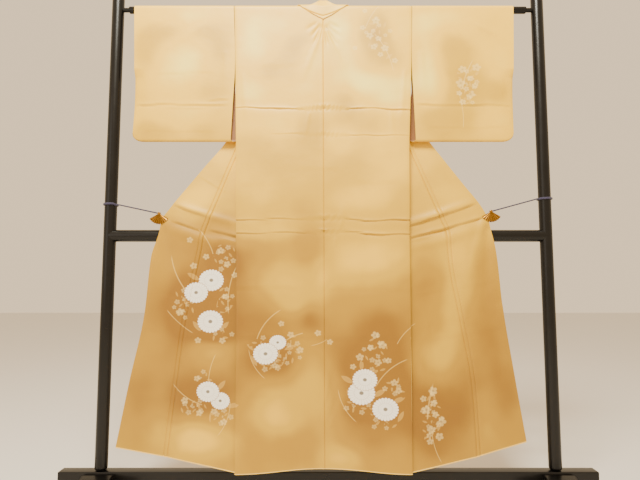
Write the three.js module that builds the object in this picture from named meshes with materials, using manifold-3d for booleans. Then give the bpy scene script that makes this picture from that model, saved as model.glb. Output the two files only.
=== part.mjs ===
// A homongi kimono shown from its back on a lacquered kimono stand, both fronts drawn out by fan clips.
// Millimetres, +Z up. The origin is the middle of the stand's footprint on the floor.
// The back of the kimono faces -Y, its fronts hang on the +Y side of the rod and turn outward.
import * as THREE from 'three';
import { mergeVertices } from 'three/addons/utils/BufferGeometryUtils.js';
import Module from 'manifold-3d';

// Cloth
const CLOTH = 2;
const COLLAR_CLOTH = 3;
const SEAM_GAP = 0.4;

// Stand
const ROD_Z = 1631.5;
const ROD_RADIUS = 12;
const ROD_NECK_RADIUS = 7.5;
const ROD_SHOULDER_X = 690;
const ROD_SOCKET = 14;
const POST_X = 730;
const POST_RADIUS = 20;
const POST_TOP_Z = 1690;
const POST_DOME = 10;
const RAIL_Z = 841;
const RAIL_RADIUS = 20;
const BEAM = { length: 1720, depth: 40, bottom: 26, top: 86, edge: 3 };
const FOOT = { width: 95, length: 360, height: 79, crown: 32, end: 24, round: 12 };
const JOINT_GAP = 0.3;

// Body of the kimono, measured on the finished garment
const DRAPE_RADIUS = 13.6;
const NECK_HALF_WIDTH = 90;
const NECK_DROP = 62;
const NECK_CURVE = 0.75;
const COLLAR_WIDTH = 55;
const COLLAR_END_Z = 850;

// Where the back's two side edges and its centre seam hang, by height
const BACK_WIDTH = [
  { z: 93, left: -288, centre: -11, right: 257 },
  { z: 411, left: -291, centre: -12, right: 262 },
  { z: 662, left: -295, centre: -12.5, right: 263.6 },
  { z: 823, left: -299, centre: -13, right: 264.3 },
  { z: 955, left: -303, centre: -13.5, right: 267 },
  { z: 1124, left: -306, centre: -14, right: 270.3 },
  { z: 1264, left: -310, centre: -14.5, right: 276.8 },
  { z: 1441, left: -315.3, centre: -15.3, right: 285.5 },
  { z: 1646, left: -323.4, centre: -16, right: 291.2 },
];

// How far the back hangs towards the viewer, at the centre seam and at the side seams
const BACK_HANG = [
  { z: 93, centre: -45, side: -75 },
  { z: 350, centre: -47, side: -62 },
  { z: 600, centre: -48.5, side: -53 },
  { z: 841, centre: -48, side: -48 },
  { z: 905, centre: -47, side: -47 },
  { z: 1155, centre: -34, side: -34 },
  { z: 1400, centre: -22, side: -22 },
  { z: 1560, centre: -15, side: -15 },
  { z: ROD_Z, centre: -DRAPE_RADIUS, side: -DRAPE_RADIUS },
];
const HEM_CENTRE_Z = 106;
const HEM_SIDE_Z = 99;

// Each front, by the height of its side edge: the width that stays behind the back before the cloth
// folds over, the turn of that fold, how far the two edges stand open above the side seam, the depth of
// the fold, then the places of the overlap seam and of the outer edge.
const FRONT_COLUMNS = [
  'z', 'fold', 'turn', 'open', 'foldY', 'seamX', 'seamY', 'seamZ', 'edgeX', 'edgeY', 'edgeZ',
];
const rows = (columns, lines) => lines.map(
  (line) => Object.fromEntries(columns.map((column, i) => [column, line[i]])),
);
const FRONT_LEFT = rows(FRONT_COLUMNS, [
  [99, 8, 180, 0, -72, -512.5, -22, 133, -683, -8, 157],
  [300, 16, 180, 0, -60, -488, -26, 345, -642, -16, 368],
  [520, 28, 180, 0, -48, -462, -27, 562, -597, -24, 585],
  [700, 42, 180, 0, -40, -427, -27, 738, -580, -26, 770],
  [760, 50, 180, 0, -38, -416, -27, 798, -559, -26, 842],
  [800, 56, 180, 0, -37, -408, -26.5, 846, -548, -26, 893],
  [840, 62, 180, 0, -36, -395, -26, 884, -526, -24, 927],
  [920, 76, 180, 0, -31, -364, -20, 965, -466, -17, 1006],
  [1000, 92, 180, 0, -25, -335, -13, 1043, -414, -9, 1074],
  [1100, 113, 180, 0, -16, -298.5, -4, 1140, -349, -1, 1158],
  [1200, 134, 180, 0, -7, -270, 5, 1236, -305, 6, 1246],
  [1300, 153, 180, 8, 1, -236, 13, 1328, -259, 14, 1336],
  [1400, 171, 180, 25, 7, -203, 21, 1420, -213, 22, 1424],
  [1460, 181, 165, 25, 10, -171, 28, 1470, -172, 28, 1471],
  [1520, 190, 130, 24.8, 12.5, -142, 36, 1525, -143, 37, 1525],
  [1580, 199, 70, 24.8, 13.5, -113, 28, 1582, -113, 29, 1582],
  [1610, 204, 25, 24.8, 13.6, -107, 17, 1610, -106, 17.5, 1610],
  [ROD_Z, 206, 10, 24.8, 13.6, -106, 14.4, ROD_Z, -105, 14.6, ROD_Z],
]);
const FRONT_RIGHT = rows(FRONT_COLUMNS, [
  [99, 8, 180, 0, -72, 473.5, -22, 133, 637, -8, 175],
  [300, 14, 180, 0, -60, 461, -26, 352, 601, -16, 392],
  [520, 24, 180, 0, -48, 428, -27, 565, 568, -24, 604],
  [700, 38, 180, 0, -40, 398, -27, 742, 552, -26, 782],
  [760, 46, 180, 0, -38, 394, -27, 798, 540, -26, 848],
  [800, 53, 180, 0, -37, 390, -26.5, 848, 527, -26, 897],
  [840, 60, 180, 0, -36, 375, -26, 888, 509, -24, 934],
  [920, 76, 180, 0, -31, 344, -20, 966, 452, -17, 1013],
  [1000, 92, 180, 0, -25, 313, -13, 1044, 404, -9, 1080],
  [1100, 112, 180, 0, -16, 275, -4, 1140, 350, -1, 1155],
  [1200, 132, 180, 0, -7, 246, 5, 1236, 286, 6, 1247],
  [1300, 152, 180, 8, 1, 211, 13, 1328, 235, 14, 1336],
  [1400, 170, 180, 25, 7, 176, 21, 1420, 186, 22, 1424],
  [1460, 180, 165, 25, 10, 142, 28, 1470, 143, 28, 1471],
  [1520, 189, 130, 24.8, 12.5, 111, 36, 1525, 112, 37, 1525],
  [1580, 198, 70, 24.8, 13.5, 82, 28, 1582, 82, 29, 1582],
  [1610, 204, 25, 24.8, 13.6, 75, 17, 1610, 74, 17.5, 1610],
  [ROD_Z, 206, 10, 24.8, 13.6, 74, 14.4, ROD_Z, 73, 14.6, ROD_Z],
]);
const FOLD_ROLL = 4;
const OVERLAP_TOP_Z = 1400;

// Tucks that run in from each clip: height of the tuck at the side edge, its depth and half width
const TUCKS_LEFT = [
  { z: 785, depth: 4.5, spread: 13 },
  { z: 860, depth: 4, spread: 12 },
];
const TUCKS_RIGHT = [
  { z: 785, depth: 4.3, spread: 12 },
  { z: 865, depth: 4.5, spread: 12 },
];

// Sleeves, by height: the edge beside the body, the outer edge, the hang of the middle, the half opening
const SLEEVE_LEFT = [
  { z: 1155, inner: -327, outer: -660, hang: -17, half: 5 },
  { z: 1300, inner: -321, outer: -656, hang: -12, half: 10 },
  { z: 1420, inner: -316.4, outer: -660, hang: -7, half: 12.5 },
  { z: ROD_Z, inner: -324.6, outer: -669, hang: 0, half: DRAPE_RADIUS },
];
const SLEEVE_RIGHT = [
  { z: 1155, inner: 296, outer: 626, hang: -17, half: 5 },
  { z: 1300, inner: 291, outer: 628, hang: -12, half: 10 },
  { z: 1420, inner: 287.4, outer: 634, hang: -7, half: 12.5 },
  { z: ROD_Z, inner: 292.4, outer: 643, hang: 0, half: DRAPE_RADIUS },
];
const SLEEVE_BOTTOM_Z = 1158;
const SLEEVE_CORNER = 38;
const CORNER_RISE = 0.8;
const WRIST_BOTTOM_Z = 1412;
const SLEEVE_PINCH = 40;

// Below the shoulder seam the far leaf's edge reaches a little way behind the body
const FAR_REACH = { width: 18, from: 1350, full: 1270 };

// Fan clips and their cords
const FAN = { radius: 36, halfAngle: 60, pleats: 9, pleat: 0.9, plate: 1.4 };
const CLIP_LEFT = { x: -558, z: 913 };
const CLIP_RIGHT = { x: 539, z: 920 };
const CLIP_CLOTH_Y = -25.5;
const CLIP_GRIP = 2.05;
const CLIP_BARREL = 4.5;
const CORD_RADIUS = 2.3;
const CORD_END_Y = -9;
const CORD_START_GAP = 0.45;
const CORD_END_GAP = 1.1;
const CORD_POST_Z_LEFT = 946;
const CORD_POST_Z_RIGHT = 966;
const WRAP = { turns: 2, radius: 2.4 };

const COLOURS = {
  gold: '#e2b968', lacquer: '#0c0a0a', brass: '#b98a34', cord: '#1c1830',
};
const silk = (colour) => new THREE.MeshStandardMaterial({
  color: colour, roughness: 0.55, metalness: 0, side: THREE.DoubleSide,
});
const lacquer = () => new THREE.MeshStandardMaterial({ color: COLOURS.lacquer, roughness: 0.18, metalness: 0 });
const brass = () => new THREE.MeshStandardMaterial({ color: COLOURS.brass, roughness: 0.3, metalness: 0.9 });
const braid = () => new THREE.MeshStandardMaterial({ color: COLOURS.cord, roughness: 0.8, metalness: 0 });

const wasm = await Module();
wasm.setup();

// Table reading: a smooth curve through the rows that never overshoots them
function follow(table, at, column) {
  const last = table.length - 1;
  const clamped = Math.min(Math.max(at, table[0].z), table[last].z);
  let i = 0;
  while (i < last - 1 && clamped > table[i + 1].z) i += 1;
  const slope = (k) => (table[k + 1][column] - table[k][column]) / (table[k + 1].z - table[k].z);
  const tangent = (k) => {
    if (k === 0) return slope(0);
    if (k === last) return slope(last - 1);
    const before = slope(k - 1);
    const after = slope(k);
    return before * after <= 0 ? 0 : (2 * before * after) / (before + after);
  };
  const step = table[i + 1].z - table[i].z;
  const t = (clamped - table[i].z) / step;
  const start = table[i][column];
  const end = table[i + 1][column];
  return start * (1 + 2 * t) * (1 - t) ** 2 + end * t * t * (3 - 2 * t)
    + step * (tangent(i) * t * (1 - t) ** 2 - tangent(i + 1) * t * t * (1 - t));
}
const mix = (a, b, t) => a + (b - a) * t;
const wave = (t) => (1 - Math.cos(Math.PI * t)) / 2;
const steps = (count) => Array.from({ length: count + 1 }, (_, i) => i / count);
const radians = THREE.MathUtils.degToRad;
const point = (x, y, z) => new THREE.Vector3(x, y, z);

// Cloth walls: a grid of middle points and their normals becomes a closed wall
function gridNormals(grid, wrap = false) {
  const rows = grid.length;
  const columns = grid[0].length;
  return grid.map((row, i) => row.map((_, j) => {
    const before = wrap ? grid[i][(j + columns - 1) % columns] : grid[i][Math.max(j - 1, 0)];
    const after = wrap ? grid[i][(j + 1) % columns] : grid[i][Math.min(j + 1, columns - 1)];
    const along = grid[Math.min(i + 1, rows - 1)][j].clone().sub(grid[Math.max(i - 1, 0)][j]);
    return after.clone().sub(before).cross(along).normalize();
  }));
}

function wallGeometry(grid, normals, wall, wrap = false) {
  const rows = grid.length;
  const columns = grid[0].length;
  const positions = [];
  for (const side of [wall / 2, -wall / 2]) {
    grid.forEach((row, i) => row.forEach((p, j) => {
      positions.push(...p.clone().addScaledVector(normals[i][j], side).toArray());
    }));
  }
  const outer = (i, j) => i * columns + (j % columns);
  const inner = (i, j) => rows * columns + outer(i, j);
  const faces = [];
  const quad = (a, b, c, d) => faces.push(a, b, c, a, c, d);
  const lastColumn = wrap ? columns : columns - 1;
  for (let i = 0; i < rows - 1; i += 1) {
    for (let j = 0; j < lastColumn; j += 1) {
      quad(outer(i, j), outer(i, j + 1), outer(i + 1, j + 1), outer(i + 1, j));
      quad(inner(i, j), inner(i + 1, j), inner(i + 1, j + 1), inner(i, j + 1));
    }
  }
  for (let j = 0; j < lastColumn; j += 1) {
    quad(outer(0, j), inner(0, j), inner(0, j + 1), outer(0, j + 1));
    quad(outer(rows - 1, j), outer(rows - 1, j + 1), inner(rows - 1, j + 1), inner(rows - 1, j));
  }
  if (!wrap) {
    for (let i = 0; i < rows - 1; i += 1) {
      quad(outer(i, 0), outer(i + 1, 0), inner(i + 1, 0), inner(i, 0));
      quad(outer(i, columns - 1), inner(i, columns - 1), inner(i + 1, columns - 1), outer(i + 1, columns - 1));
    }
  }
  return closedGeometry(positions, faces);
}

// An indexed geometry whose faces are turned to point out
function closedGeometry(positions, faces) {
  const at = (k) => point(positions[3 * k], positions[3 * k + 1], positions[3 * k + 2]);
  let volume = 0;
  for (let k = 0; k < faces.length; k += 3) {
    volume += at(faces[k]).dot(at(faces[k + 1]).cross(at(faces[k + 2])));
  }
  const index = volume > 0 ? faces : faces.slice().reverse();
  const geometry = new THREE.BufferGeometry();
  geometry.setAttribute('position', new THREE.Float32BufferAttribute(positions, 3));
  geometry.setIndex(index);
  geometry.computeVertexNormals();
  return geometry;
}

// Joining and cutting
function toSolid(geometry) {
  const bare = geometry.clone();
  bare.deleteAttribute('normal');
  bare.deleteAttribute('uv');
  const merged = mergeVertices(bare, 1e-4);
  return new wasm.Manifold(new wasm.Mesh({
    numProp: 3,
    vertProperties: new Float32Array(merged.attributes.position.array),
    triVerts: new Uint32Array(merged.index.array),
  }));
}

function toGeometry(solid) {
  const mesh = solid.getMesh();
  return closedGeometry(Array.from(mesh.vertProperties), Array.from(mesh.triVerts));
}

const joined = (...geometries) => toGeometry(
  geometries.map(toSolid).reduce((whole, piece) => whole.add(piece)),
);
const cut = (geometry, ...tools) => toGeometry(
  tools.map(toSolid).reduce((whole, tool) => whole.subtract(tool), toSolid(geometry)),
);

function named(name, geometry, material) {
  const mesh = new THREE.Mesh(geometry, material);
  mesh.name = name;
  return mesh;
}

// Back of the body: over the near side of the rod and down to the hem
const QUARTER = (Math.PI / 2) * DRAPE_RADIUS;

function backPoint(across, drop) {
  const turn = drop / DRAPE_RADIUS;
  const z = drop < QUARTER ? ROD_Z + DRAPE_RADIUS * Math.cos(turn) : ROD_Z - (drop - QUARTER);
  const edge = follow(BACK_WIDTH, z, across < 0 ? 'left' : 'right');
  const x = mix(follow(BACK_WIDTH, z, 'centre'), edge, Math.abs(across));
  const y = drop < QUARTER
    ? -DRAPE_RADIUS * Math.sin(turn)
    : mix(follow(BACK_HANG, z, 'centre'), follow(BACK_HANG, z, 'side'), wave(Math.abs(across)));
  return point(x, y, z);
}

const BODY_HALF = 305;
const neckAcross = (drop) => (NECK_HALF_WIDTH / BODY_HALF) * (1 - (drop / NECK_DROP) ** (1 / NECK_CURVE));
function neckDrop(across) {
  const share = Math.abs(across) * (BODY_HALF / NECK_HALF_WIDTH);
  return share >= 1 ? 0 : NECK_DROP * (1 - share) ** NECK_CURVE;
}
const hemDrop = (across) => QUARTER + ROD_Z - mix(HEM_CENTRE_Z, HEM_SIDE_Z, wave(Math.abs(across)));

const ROD_ROWS = steps(4).map((t) => t * QUARTER);
const NECK_STATIONS = [NECK_DROP, 42, 26, 21, 16, 12, 8, 4, 0].map(neckAcross);
const BACK_ACROSS = [...NECK_STATIONS, 0.52, 0.76, 1];
const BACK_HEIGHTS = [
  1600, 1550, 1460, 1400, 1330, 1265, 1200, 1150, 1100, 1050, 1000, 960, 920, 880, 845, 800, 740, 600, 500, 400,
  300, 200,
];
const BACK_DROPS = [...ROD_ROWS, ...BACK_HEIGHTS.map((z) => ROD_Z + QUARTER - z)];

function backGrid(columns) {
  const longest = hemDrop(1);
  return [...BACK_DROPS, longest].map((drop) => columns.map((across) => {
    const start = neckDrop(across);
    return backPoint(across, mix(start, hemDrop(across), drop / longest));
  }));
}

function backPanel(name, sign) {
  const columns = [SEAM_GAP / 2 / BODY_HALF, ...BACK_ACROSS.slice(1)].map((across) => sign * across);
  const grid = backGrid(columns);
  grid[0].forEach((p) => { if (p.z > ROD_Z + ROD_RADIUS) p.y = Math.min(p.y, -SEAM_GAP / 2); });
  const normals = gridNormals(grid);
  const up = normals[6][0].y < 0 ? 1 : -1;
  grid[0].forEach((p, j) => { if (p.z > ROD_Z + ROD_RADIUS) normals[0][j].set(0, 0, up); });
  return named(name, wallGeometry(grid, normals, CLOTH), silk(COLOURS.gold));
}

// Each front: over the far side of the rod, then folded over on itself and out past the side seam
const FIRST_STEPS = steps(3);
const ROLL_STEPS = steps(3).slice(1);
const SECOND_STEPS = steps(4).slice(1);
const OVERLAP_STEPS = steps(4);

function tuckLift(tucks, z, along) {
  const reach = Math.sin(Math.PI * along ** 1.3);
  const lift = (tuck) => tuck.depth * Math.exp(-(((z - tuck.z) / tuck.spread) ** 2));
  return -reach * tucks.reduce((sum, tuck) => sum + lift(tuck), 0);
}

function frontRow(side, z) {
  const { table, tucks, edge, inward } = side;
  const read = (column) => follow(table, z, column);
  const sideX = follow(BACK_WIDTH, z, edge);
  const sideY = follow(BACK_HANG, z, 'side') + CLOTH + SEAM_GAP + read('open');
  const foldX = sideX + inward * read('fold');
  const foldY = read('foldY');
  const turn = radians(read('turn'));
  const seam = point(read('seamX'), read('seamY'), read('seamZ'));
  const outer = point(read('edgeX'), read('edgeY'), read('edgeZ'));
  const rollEnd = point(
    foldX + inward * FOLD_ROLL * Math.sin(turn), foldY + FOLD_ROLL * (1 - Math.cos(turn)), z,
  );
  const whole = Math.abs(outer.x - foldX) + 1;
  const lifted = (p) => {
    p.y += tuckLift(tucks, z, Math.min(1, Math.abs(p.x - foldX) / whole));
    return p;
  };
  const first = FIRST_STEPS.map((t) => point(mix(sideX, foldX, t), mix(sideY, foldY, t), z));
  const roll = ROLL_STEPS.map((t) => point(
    foldX + inward * FOLD_ROLL * Math.sin(turn * t), foldY + FOLD_ROLL * (1 - Math.cos(turn * t)), z,
  ));
  const second = SECOND_STEPS.map((t) => lifted(rollEnd.clone().lerp(seam, t)));
  const overlap = OVERLAP_STEPS.map((t) => lifted(seam.clone().lerp(outer, t)));
  return { panel: [...first, ...roll, ...second], overlap };
}

// The rows over the rod keep the places across that the row at the rod's height has
function frontRodRow(side, turn) {
  const { panel } = frontRow(side, ROD_Z);
  return panel.map((p) => point(
    p.x, Math.max(0.2, DRAPE_RADIUS * Math.sin(turn)), ROD_Z + DRAPE_RADIUS * Math.cos(turn),
  ));
}

const FRONT_HEIGHTS = [
  1615, 1600, 1580, 1550, 1520, 1460, 1400, 1330, 1265, 1200, 1150, 1100, 1050, 1000, 960, 920, 880, 860, 845,
  830, 815, 800, 785, 770, 740, 600, 500, 400, 300, 200, 99,
];

function frontPanels(side) {
  const rod = ROD_ROWS.slice(0, -1).map((drop) => frontRodRow(side, drop / DRAPE_RADIUS));
  const rows = [ROD_Z, ...FRONT_HEIGHTS].map((z) => frontRow(side, z));
  const panelGrid = [...rod, ...rows.map((row) => row.panel)];
  const overlapRows = rows.filter((_, i) => i > 0 && FRONT_HEIGHTS[i - 1] <= OVERLAP_TOP_Z);
  const joint = rod.length + rows.length - overlapRows.length;
  const seamColumn = panelGrid[0].length - 1;
  const wholeRows = overlapRows.map((row) => [...row.panel, ...row.overlap.slice(1)]);
  const normals = gridNormals(panelGrid);
  const lowerNormals = gridNormals(wholeRows);
  const sign = normals[6][0].y > 0 ? 1 : -1;
  normals[0].forEach((n) => n.set(0, 0, sign));
  overlapRows.forEach((_, k) => {
    normals[joint + k][seamColumn] = lowerNormals[k][seamColumn];
  });
  const opened = panelGrid.map((row) => {
    const end = row[seamColumn];
    const back = row[seamColumn - 1].clone().sub(end).normalize();
    return [...row.slice(0, -1), end.clone().addScaledVector(back, SEAM_GAP / 2)];
  });
  const overlapGrid = overlapRows.map((row) => {
    const start = row.overlap[0];
    const away = row.overlap[1].clone().sub(start).normalize();
    return [start.clone().addScaledVector(away, SEAM_GAP / 2), ...row.overlap.slice(1)];
  });
  const overlapNormals = lowerNormals.map((row) => row.slice(seamColumn));
  return [
    named(`front_${side.edge}`, wallGeometry(opened, normals, CLOTH), silk(COLOURS.gold)),
    named(`overlap_${side.edge}`, wallGeometry(overlapGrid, overlapNormals, CLOTH), silk(COLOURS.gold)),
  ];
}

// Collar: one band from clip to clip, over both shoulders and round the back of the neck
const BAND_ACROSS = steps(3);
const STAND_ACROSS = steps(2).slice(1);
const COLLAR_OFFSET = (CLOTH + COLLAR_CLOTH) / 2 + SEAM_GAP;
const CREASE_TURN = 80;
const STAND_HEIGHT = 31;
const STAND_LEAN = 24;
const SHOULDER_BAND = 30;

// One section: where the band is sewn on, the crease that it reaches, and the upstand beyond the crease
const section = (base, crease, outside, stand, lean) => ({ base, crease, outside, stand, lean });

// Round the neck the crease lies on the rod, from its top at the shoulder to its near side at the centre
function neckSections(side) {
  return NECK_STATIONS.map((across) => {
    const drop = neckDrop(across);
    const seam = backPoint(across * (side.edge === 'left' ? -1 : 1), drop);
    const turn = Math.min(drop / DRAPE_RADIUS, Math.PI / 2);
    const outside = point(0, -Math.sin(turn), Math.cos(turn));
    const share = drop / NECK_DROP;
    const creaseTurn = radians(CREASE_TURN * Math.sqrt(share));
    const radius = DRAPE_RADIUS + COLLAR_OFFSET;
    const crease = point(
      seam.x + side.inward * SHOULDER_BAND * (1 - share),
      -radius * Math.sin(creaseTurn), ROD_Z + radius * Math.cos(creaseTurn),
    );
    const rise = Math.max(0, Math.min(1, (share - 0.35) / 0.5));
    return section(
      seam.addScaledVector(outside, COLLAR_OFFSET), crease, outside, 2 + STAND_HEIGHT * rise, STAND_LEAN * rise,
    );
  });
}

function shoulderSections(side) {
  const seam = frontRow(side, ROD_Z).panel.at(-1);
  return ROD_ROWS.slice(1, -1).map((drop) => {
    const turn = drop / DRAPE_RADIUS;
    const outside = point(0, Math.sin(turn), Math.cos(turn));
    const base = point(seam.x, 0, ROD_Z).addScaledVector(outside, DRAPE_RADIUS + COLLAR_OFFSET);
    const width = mix(SHOULDER_BAND, COLLAR_WIDTH, drop / QUARTER);
    return section(base, base.clone().add(point(side.inward * width, 0, 0)), outside, 2, 0);
  });
}

function frontSections(side) {
  const heights = [ROD_Z, ...FRONT_HEIGHTS].filter((z) => z >= COLLAR_END_Z);
  const edges = heights.map((z) => frontRow(side, z).overlap.at(-1));
  return edges.map((edge, i) => {
    const along = edges[Math.min(i + 1, edges.length - 1)].clone().sub(edges[Math.max(i - 1, 0)]);
    along.y = 0;
    along.normalize();
    const slant = Math.min(1, i / 5);
    const across = point(side.inward * Math.abs(along.z), 0, -Math.abs(along.x));
    const way = point(side.inward, 0, 0).lerp(across, slant).normalize();
    const base = edge.clone();
    base.y += COLLAR_OFFSET;
    return section(base, base.clone().addScaledVector(way, COLLAR_WIDTH), point(0, 1, 0), 2, 0);
  });
}

function collarRow({ base, crease, outside, stand, lean }) {
  const across = crease.clone().sub(base).normalize();
  const inside = outside.clone().negate();
  const up = across.clone().multiplyScalar(Math.cos(radians(lean)))
    .addScaledVector(inside, Math.sin(radians(lean)));
  return [
    ...BAND_ACROSS.map((t) => base.clone().lerp(crease, t)),
    ...STAND_ACROSS.map((t) => crease.clone().addScaledVector(up, stand * t)),
  ];
}

function collar(left, right) {
  const half = (side) => [...frontSections(side).reverse(), ...shoulderSections(side).reverse(),
    ...neckSections(side).reverse()];
  const sections = [...half(left), ...half(right).reverse().slice(1)];
  const grid = sections.map(collarRow);
  return named('collar', wallGeometry(grid, gridNormals(grid), COLLAR_CLOTH), silk(COLOURS.gold));
}

// Sleeve: a bag folded over the rod, open beside the body below its seam and open at the wrist
const SLEEVE_ACROSS = [0, 0.18, 0.38, 0.58, 0.76, 0.88, 0.93, 0.965, 0.985, 1];
const SLEEVE_LEVELS = [1600, 1540, 1480, 1440, WRIST_BOTTOM_Z, 1370, 1320, 1270, 1225, 1195];

function sleeveBottom(table, share) {
  const width = Math.abs(follow(table, SLEEVE_BOTTOM_Z, 'outer') - follow(table, SLEEVE_BOTTOM_Z, 'inner'));
  const left = (1 - share) * width;
  if (left >= SLEEVE_CORNER) return SLEEVE_BOTTOM_Z;
  const rise = SLEEVE_CORNER - Math.sqrt(SLEEVE_CORNER ** 2 - (SLEEVE_CORNER - left) ** 2);
  return SLEEVE_BOTTOM_Z + rise * CORNER_RISE;
}

function sleeveHalf(table, share, z) {
  const width = Math.abs(follow(table, z, 'outer') - follow(table, z, 'inner'));
  const fromEdge = (1 - share) * width;
  const open = follow(table, z, 'half');
  if (z > WRIST_BOTTOM_Z) return open;
  const closing = Math.min(1, fromEdge / SLEEVE_PINCH);
  const below = Math.min(1, (WRIST_BOTTOM_Z - z) / 30);
  return mix(open, Math.max(1.6, open * Math.sqrt(closing)), below);
}

function sleeveRing(table, share) {
  const bottom = sleeveBottom(table, share);
  const round = Math.min(5, sleeveHalf(table, share, bottom + 4));
  const lowest = SLEEVE_LEVELS.at(-1);
  const levels = SLEEVE_LEVELS.map((z) => mix(bottom + round + 2, ROD_Z, (z - lowest) / (ROD_Z - lowest)));
  const outward = Math.sign(table[0].outer);
  const place = (z, dy, far = 0) => {
    const reach = far * FAR_REACH.width * (1 - THREE.MathUtils.smoothstep(z, FAR_REACH.full, FAR_REACH.from));
    const x = mix(follow(table, z, 'inner') - outward * reach, follow(table, z, 'outer'), share);
    return point(x, follow(table, z, 'hang') + dy, z);
  };
  const over = (turn) => {
    const x = mix(follow(table, ROD_Z, 'inner'), follow(table, ROD_Z, 'outer'), share);
    return point(x, -DRAPE_RADIUS * Math.cos(turn), ROD_Z + DRAPE_RADIUS * Math.sin(turn));
  };
  const top = steps(8).map((t) => over(Math.PI * t));
  const far = levels.map((z) => place(z, sleeveHalf(table, share, z), 1));
  const fold = steps(4).slice(1, -1).map((t) => {
    const turn = Math.PI * t;
    return place(bottom + round * (1 - Math.sin(turn)), round * Math.cos(turn), 1 - t);
  });
  const near = levels.map((z) => place(z, -sleeveHalf(table, share, z))).reverse();
  return [...top, ...far, ...fold, ...near];
}

function sleeve(name, table) {
  const grid = SLEEVE_ACROSS.map((share) => sleeveRing(table, share));
  const bag = wallGeometry(grid, gridNormals(grid, true), CLOTH, true);
  const outward = Math.sign(table[0].outer);
  const seamHeights = [WRIST_BOTTOM_Z, 1370, 1320, 1270, 1225, 1200];
  const seam = seamHeights.map((z) => {
    const x = follow(table, z, 'outer') - outward * 2.4;
    return steps(1).map((t) => point(x, follow(table, z, 'hang') + mix(-1.9, 1.9, t), z));
  });
  const strip = wallGeometry(seam, seam.map((row) => row.map(() => point(1, 0, 0))), 3);
  return named(name, joined(bag, strip), silk(COLOURS.gold));
}

// Stand
function upright(name, x) {
  const bottom = BEAM.top + JOINT_GAP;
  const profile = [
    new THREE.Vector2(0, bottom), new THREE.Vector2(POST_RADIUS, bottom),
    new THREE.Vector2(POST_RADIUS, POST_TOP_Z - POST_DOME),
    ...steps(3).slice(1).map((t) => new THREE.Vector2(
      POST_RADIUS * Math.cos((Math.PI / 2) * t), POST_TOP_Z - POST_DOME * (1 - Math.sin((Math.PI / 2) * t)),
    )),
  ];
  profile.at(-1).x = 0;
  const post = new THREE.LatheGeometry(profile, 32);
  post.rotateX(Math.PI / 2);
  post.translate(x, 0, 0);
  const depth = ROD_SOCKET + 0.5;
  const bore = ROD_NECK_RADIUS + JOINT_GAP;
  const socket = new THREE.CylinderGeometry(bore, bore, depth + 4, 24);
  socket.rotateZ(Math.PI / 2);
  const inner = x - Math.sign(x) * POST_RADIUS;
  socket.translate(inner + Math.sign(x) * (depth / 2 - 2), 0, ROD_Z);
  return named(name, cut(post, socket), lacquer());
}

function hangingRod() {
  const neckEnd = POST_X - POST_RADIUS + ROD_SOCKET;
  const profile = [
    [0, -neckEnd], [ROD_NECK_RADIUS, -neckEnd],
    [ROD_NECK_RADIUS, -ROD_SHOULDER_X], [ROD_RADIUS, -ROD_SHOULDER_X],
    [ROD_RADIUS, ROD_SHOULDER_X], [ROD_NECK_RADIUS, ROD_SHOULDER_X],
    [ROD_NECK_RADIUS, neckEnd], [0, neckEnd],
  ].map(([r, along]) => new THREE.Vector2(r, along));
  const rod = new THREE.LatheGeometry(profile, 24);
  rod.rotateZ(-Math.PI / 2);
  rod.translate(0, 0, ROD_Z);
  return named('hanging_rod', toGeometry(toSolid(rod)), lacquer());
}

function middleRail() {
  const rail = new THREE.CylinderGeometry(RAIL_RADIUS, RAIL_RADIUS, 2 * POST_X, 32);
  rail.rotateZ(Math.PI / 2);
  rail.translate(0, 0, RAIL_Z);
  const cope = (x) => {
    const tool = new THREE.CylinderGeometry(POST_RADIUS + JOINT_GAP, POST_RADIUS + JOINT_GAP, 120, 32);
    tool.rotateX(Math.PI / 2);
    tool.translate(x, 0, RAIL_Z);
    return tool;
  };
  const beyond = (x) => {
    const tool = new THREE.BoxGeometry(60, 60, 60);
    tool.translate(x, 0, RAIL_Z);
    return tool;
  };
  const tools = [cope(-POST_X), cope(POST_X), beyond(-POST_X - 30), beyond(POST_X + 30)];
  return named('middle_rail', cut(rail, ...tools), lacquer());
}

function bevelledBar(width, height, edge) {
  const shape = new THREE.Shape();
  shape.moveTo(-width / 2 + edge, -height / 2);
  shape.lineTo(width / 2 - edge, -height / 2);
  shape.lineTo(width / 2, -height / 2 + edge);
  shape.lineTo(width / 2, height / 2 - edge);
  shape.lineTo(width / 2 - edge, height / 2);
  shape.lineTo(-width / 2 + edge, height / 2);
  shape.lineTo(-width / 2, height / 2 - edge);
  shape.lineTo(-width / 2, -height / 2 + edge);
  shape.closePath();
  return shape;
}

function baseBeam() {
  const height = BEAM.top - BEAM.bottom;
  const beam = new THREE.ExtrudeGeometry(bevelledBar(BEAM.depth, height, BEAM.edge), {
    depth: BEAM.length, bevelEnabled: false,
  });
  beam.rotateX(Math.PI / 2);
  beam.rotateZ(Math.PI / 2);
  beam.translate(-BEAM.length / 2, 0, (BEAM.top + BEAM.bottom) / 2);
  return named('base_beam', toGeometry(toSolid(beam)), lacquer());
}

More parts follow.
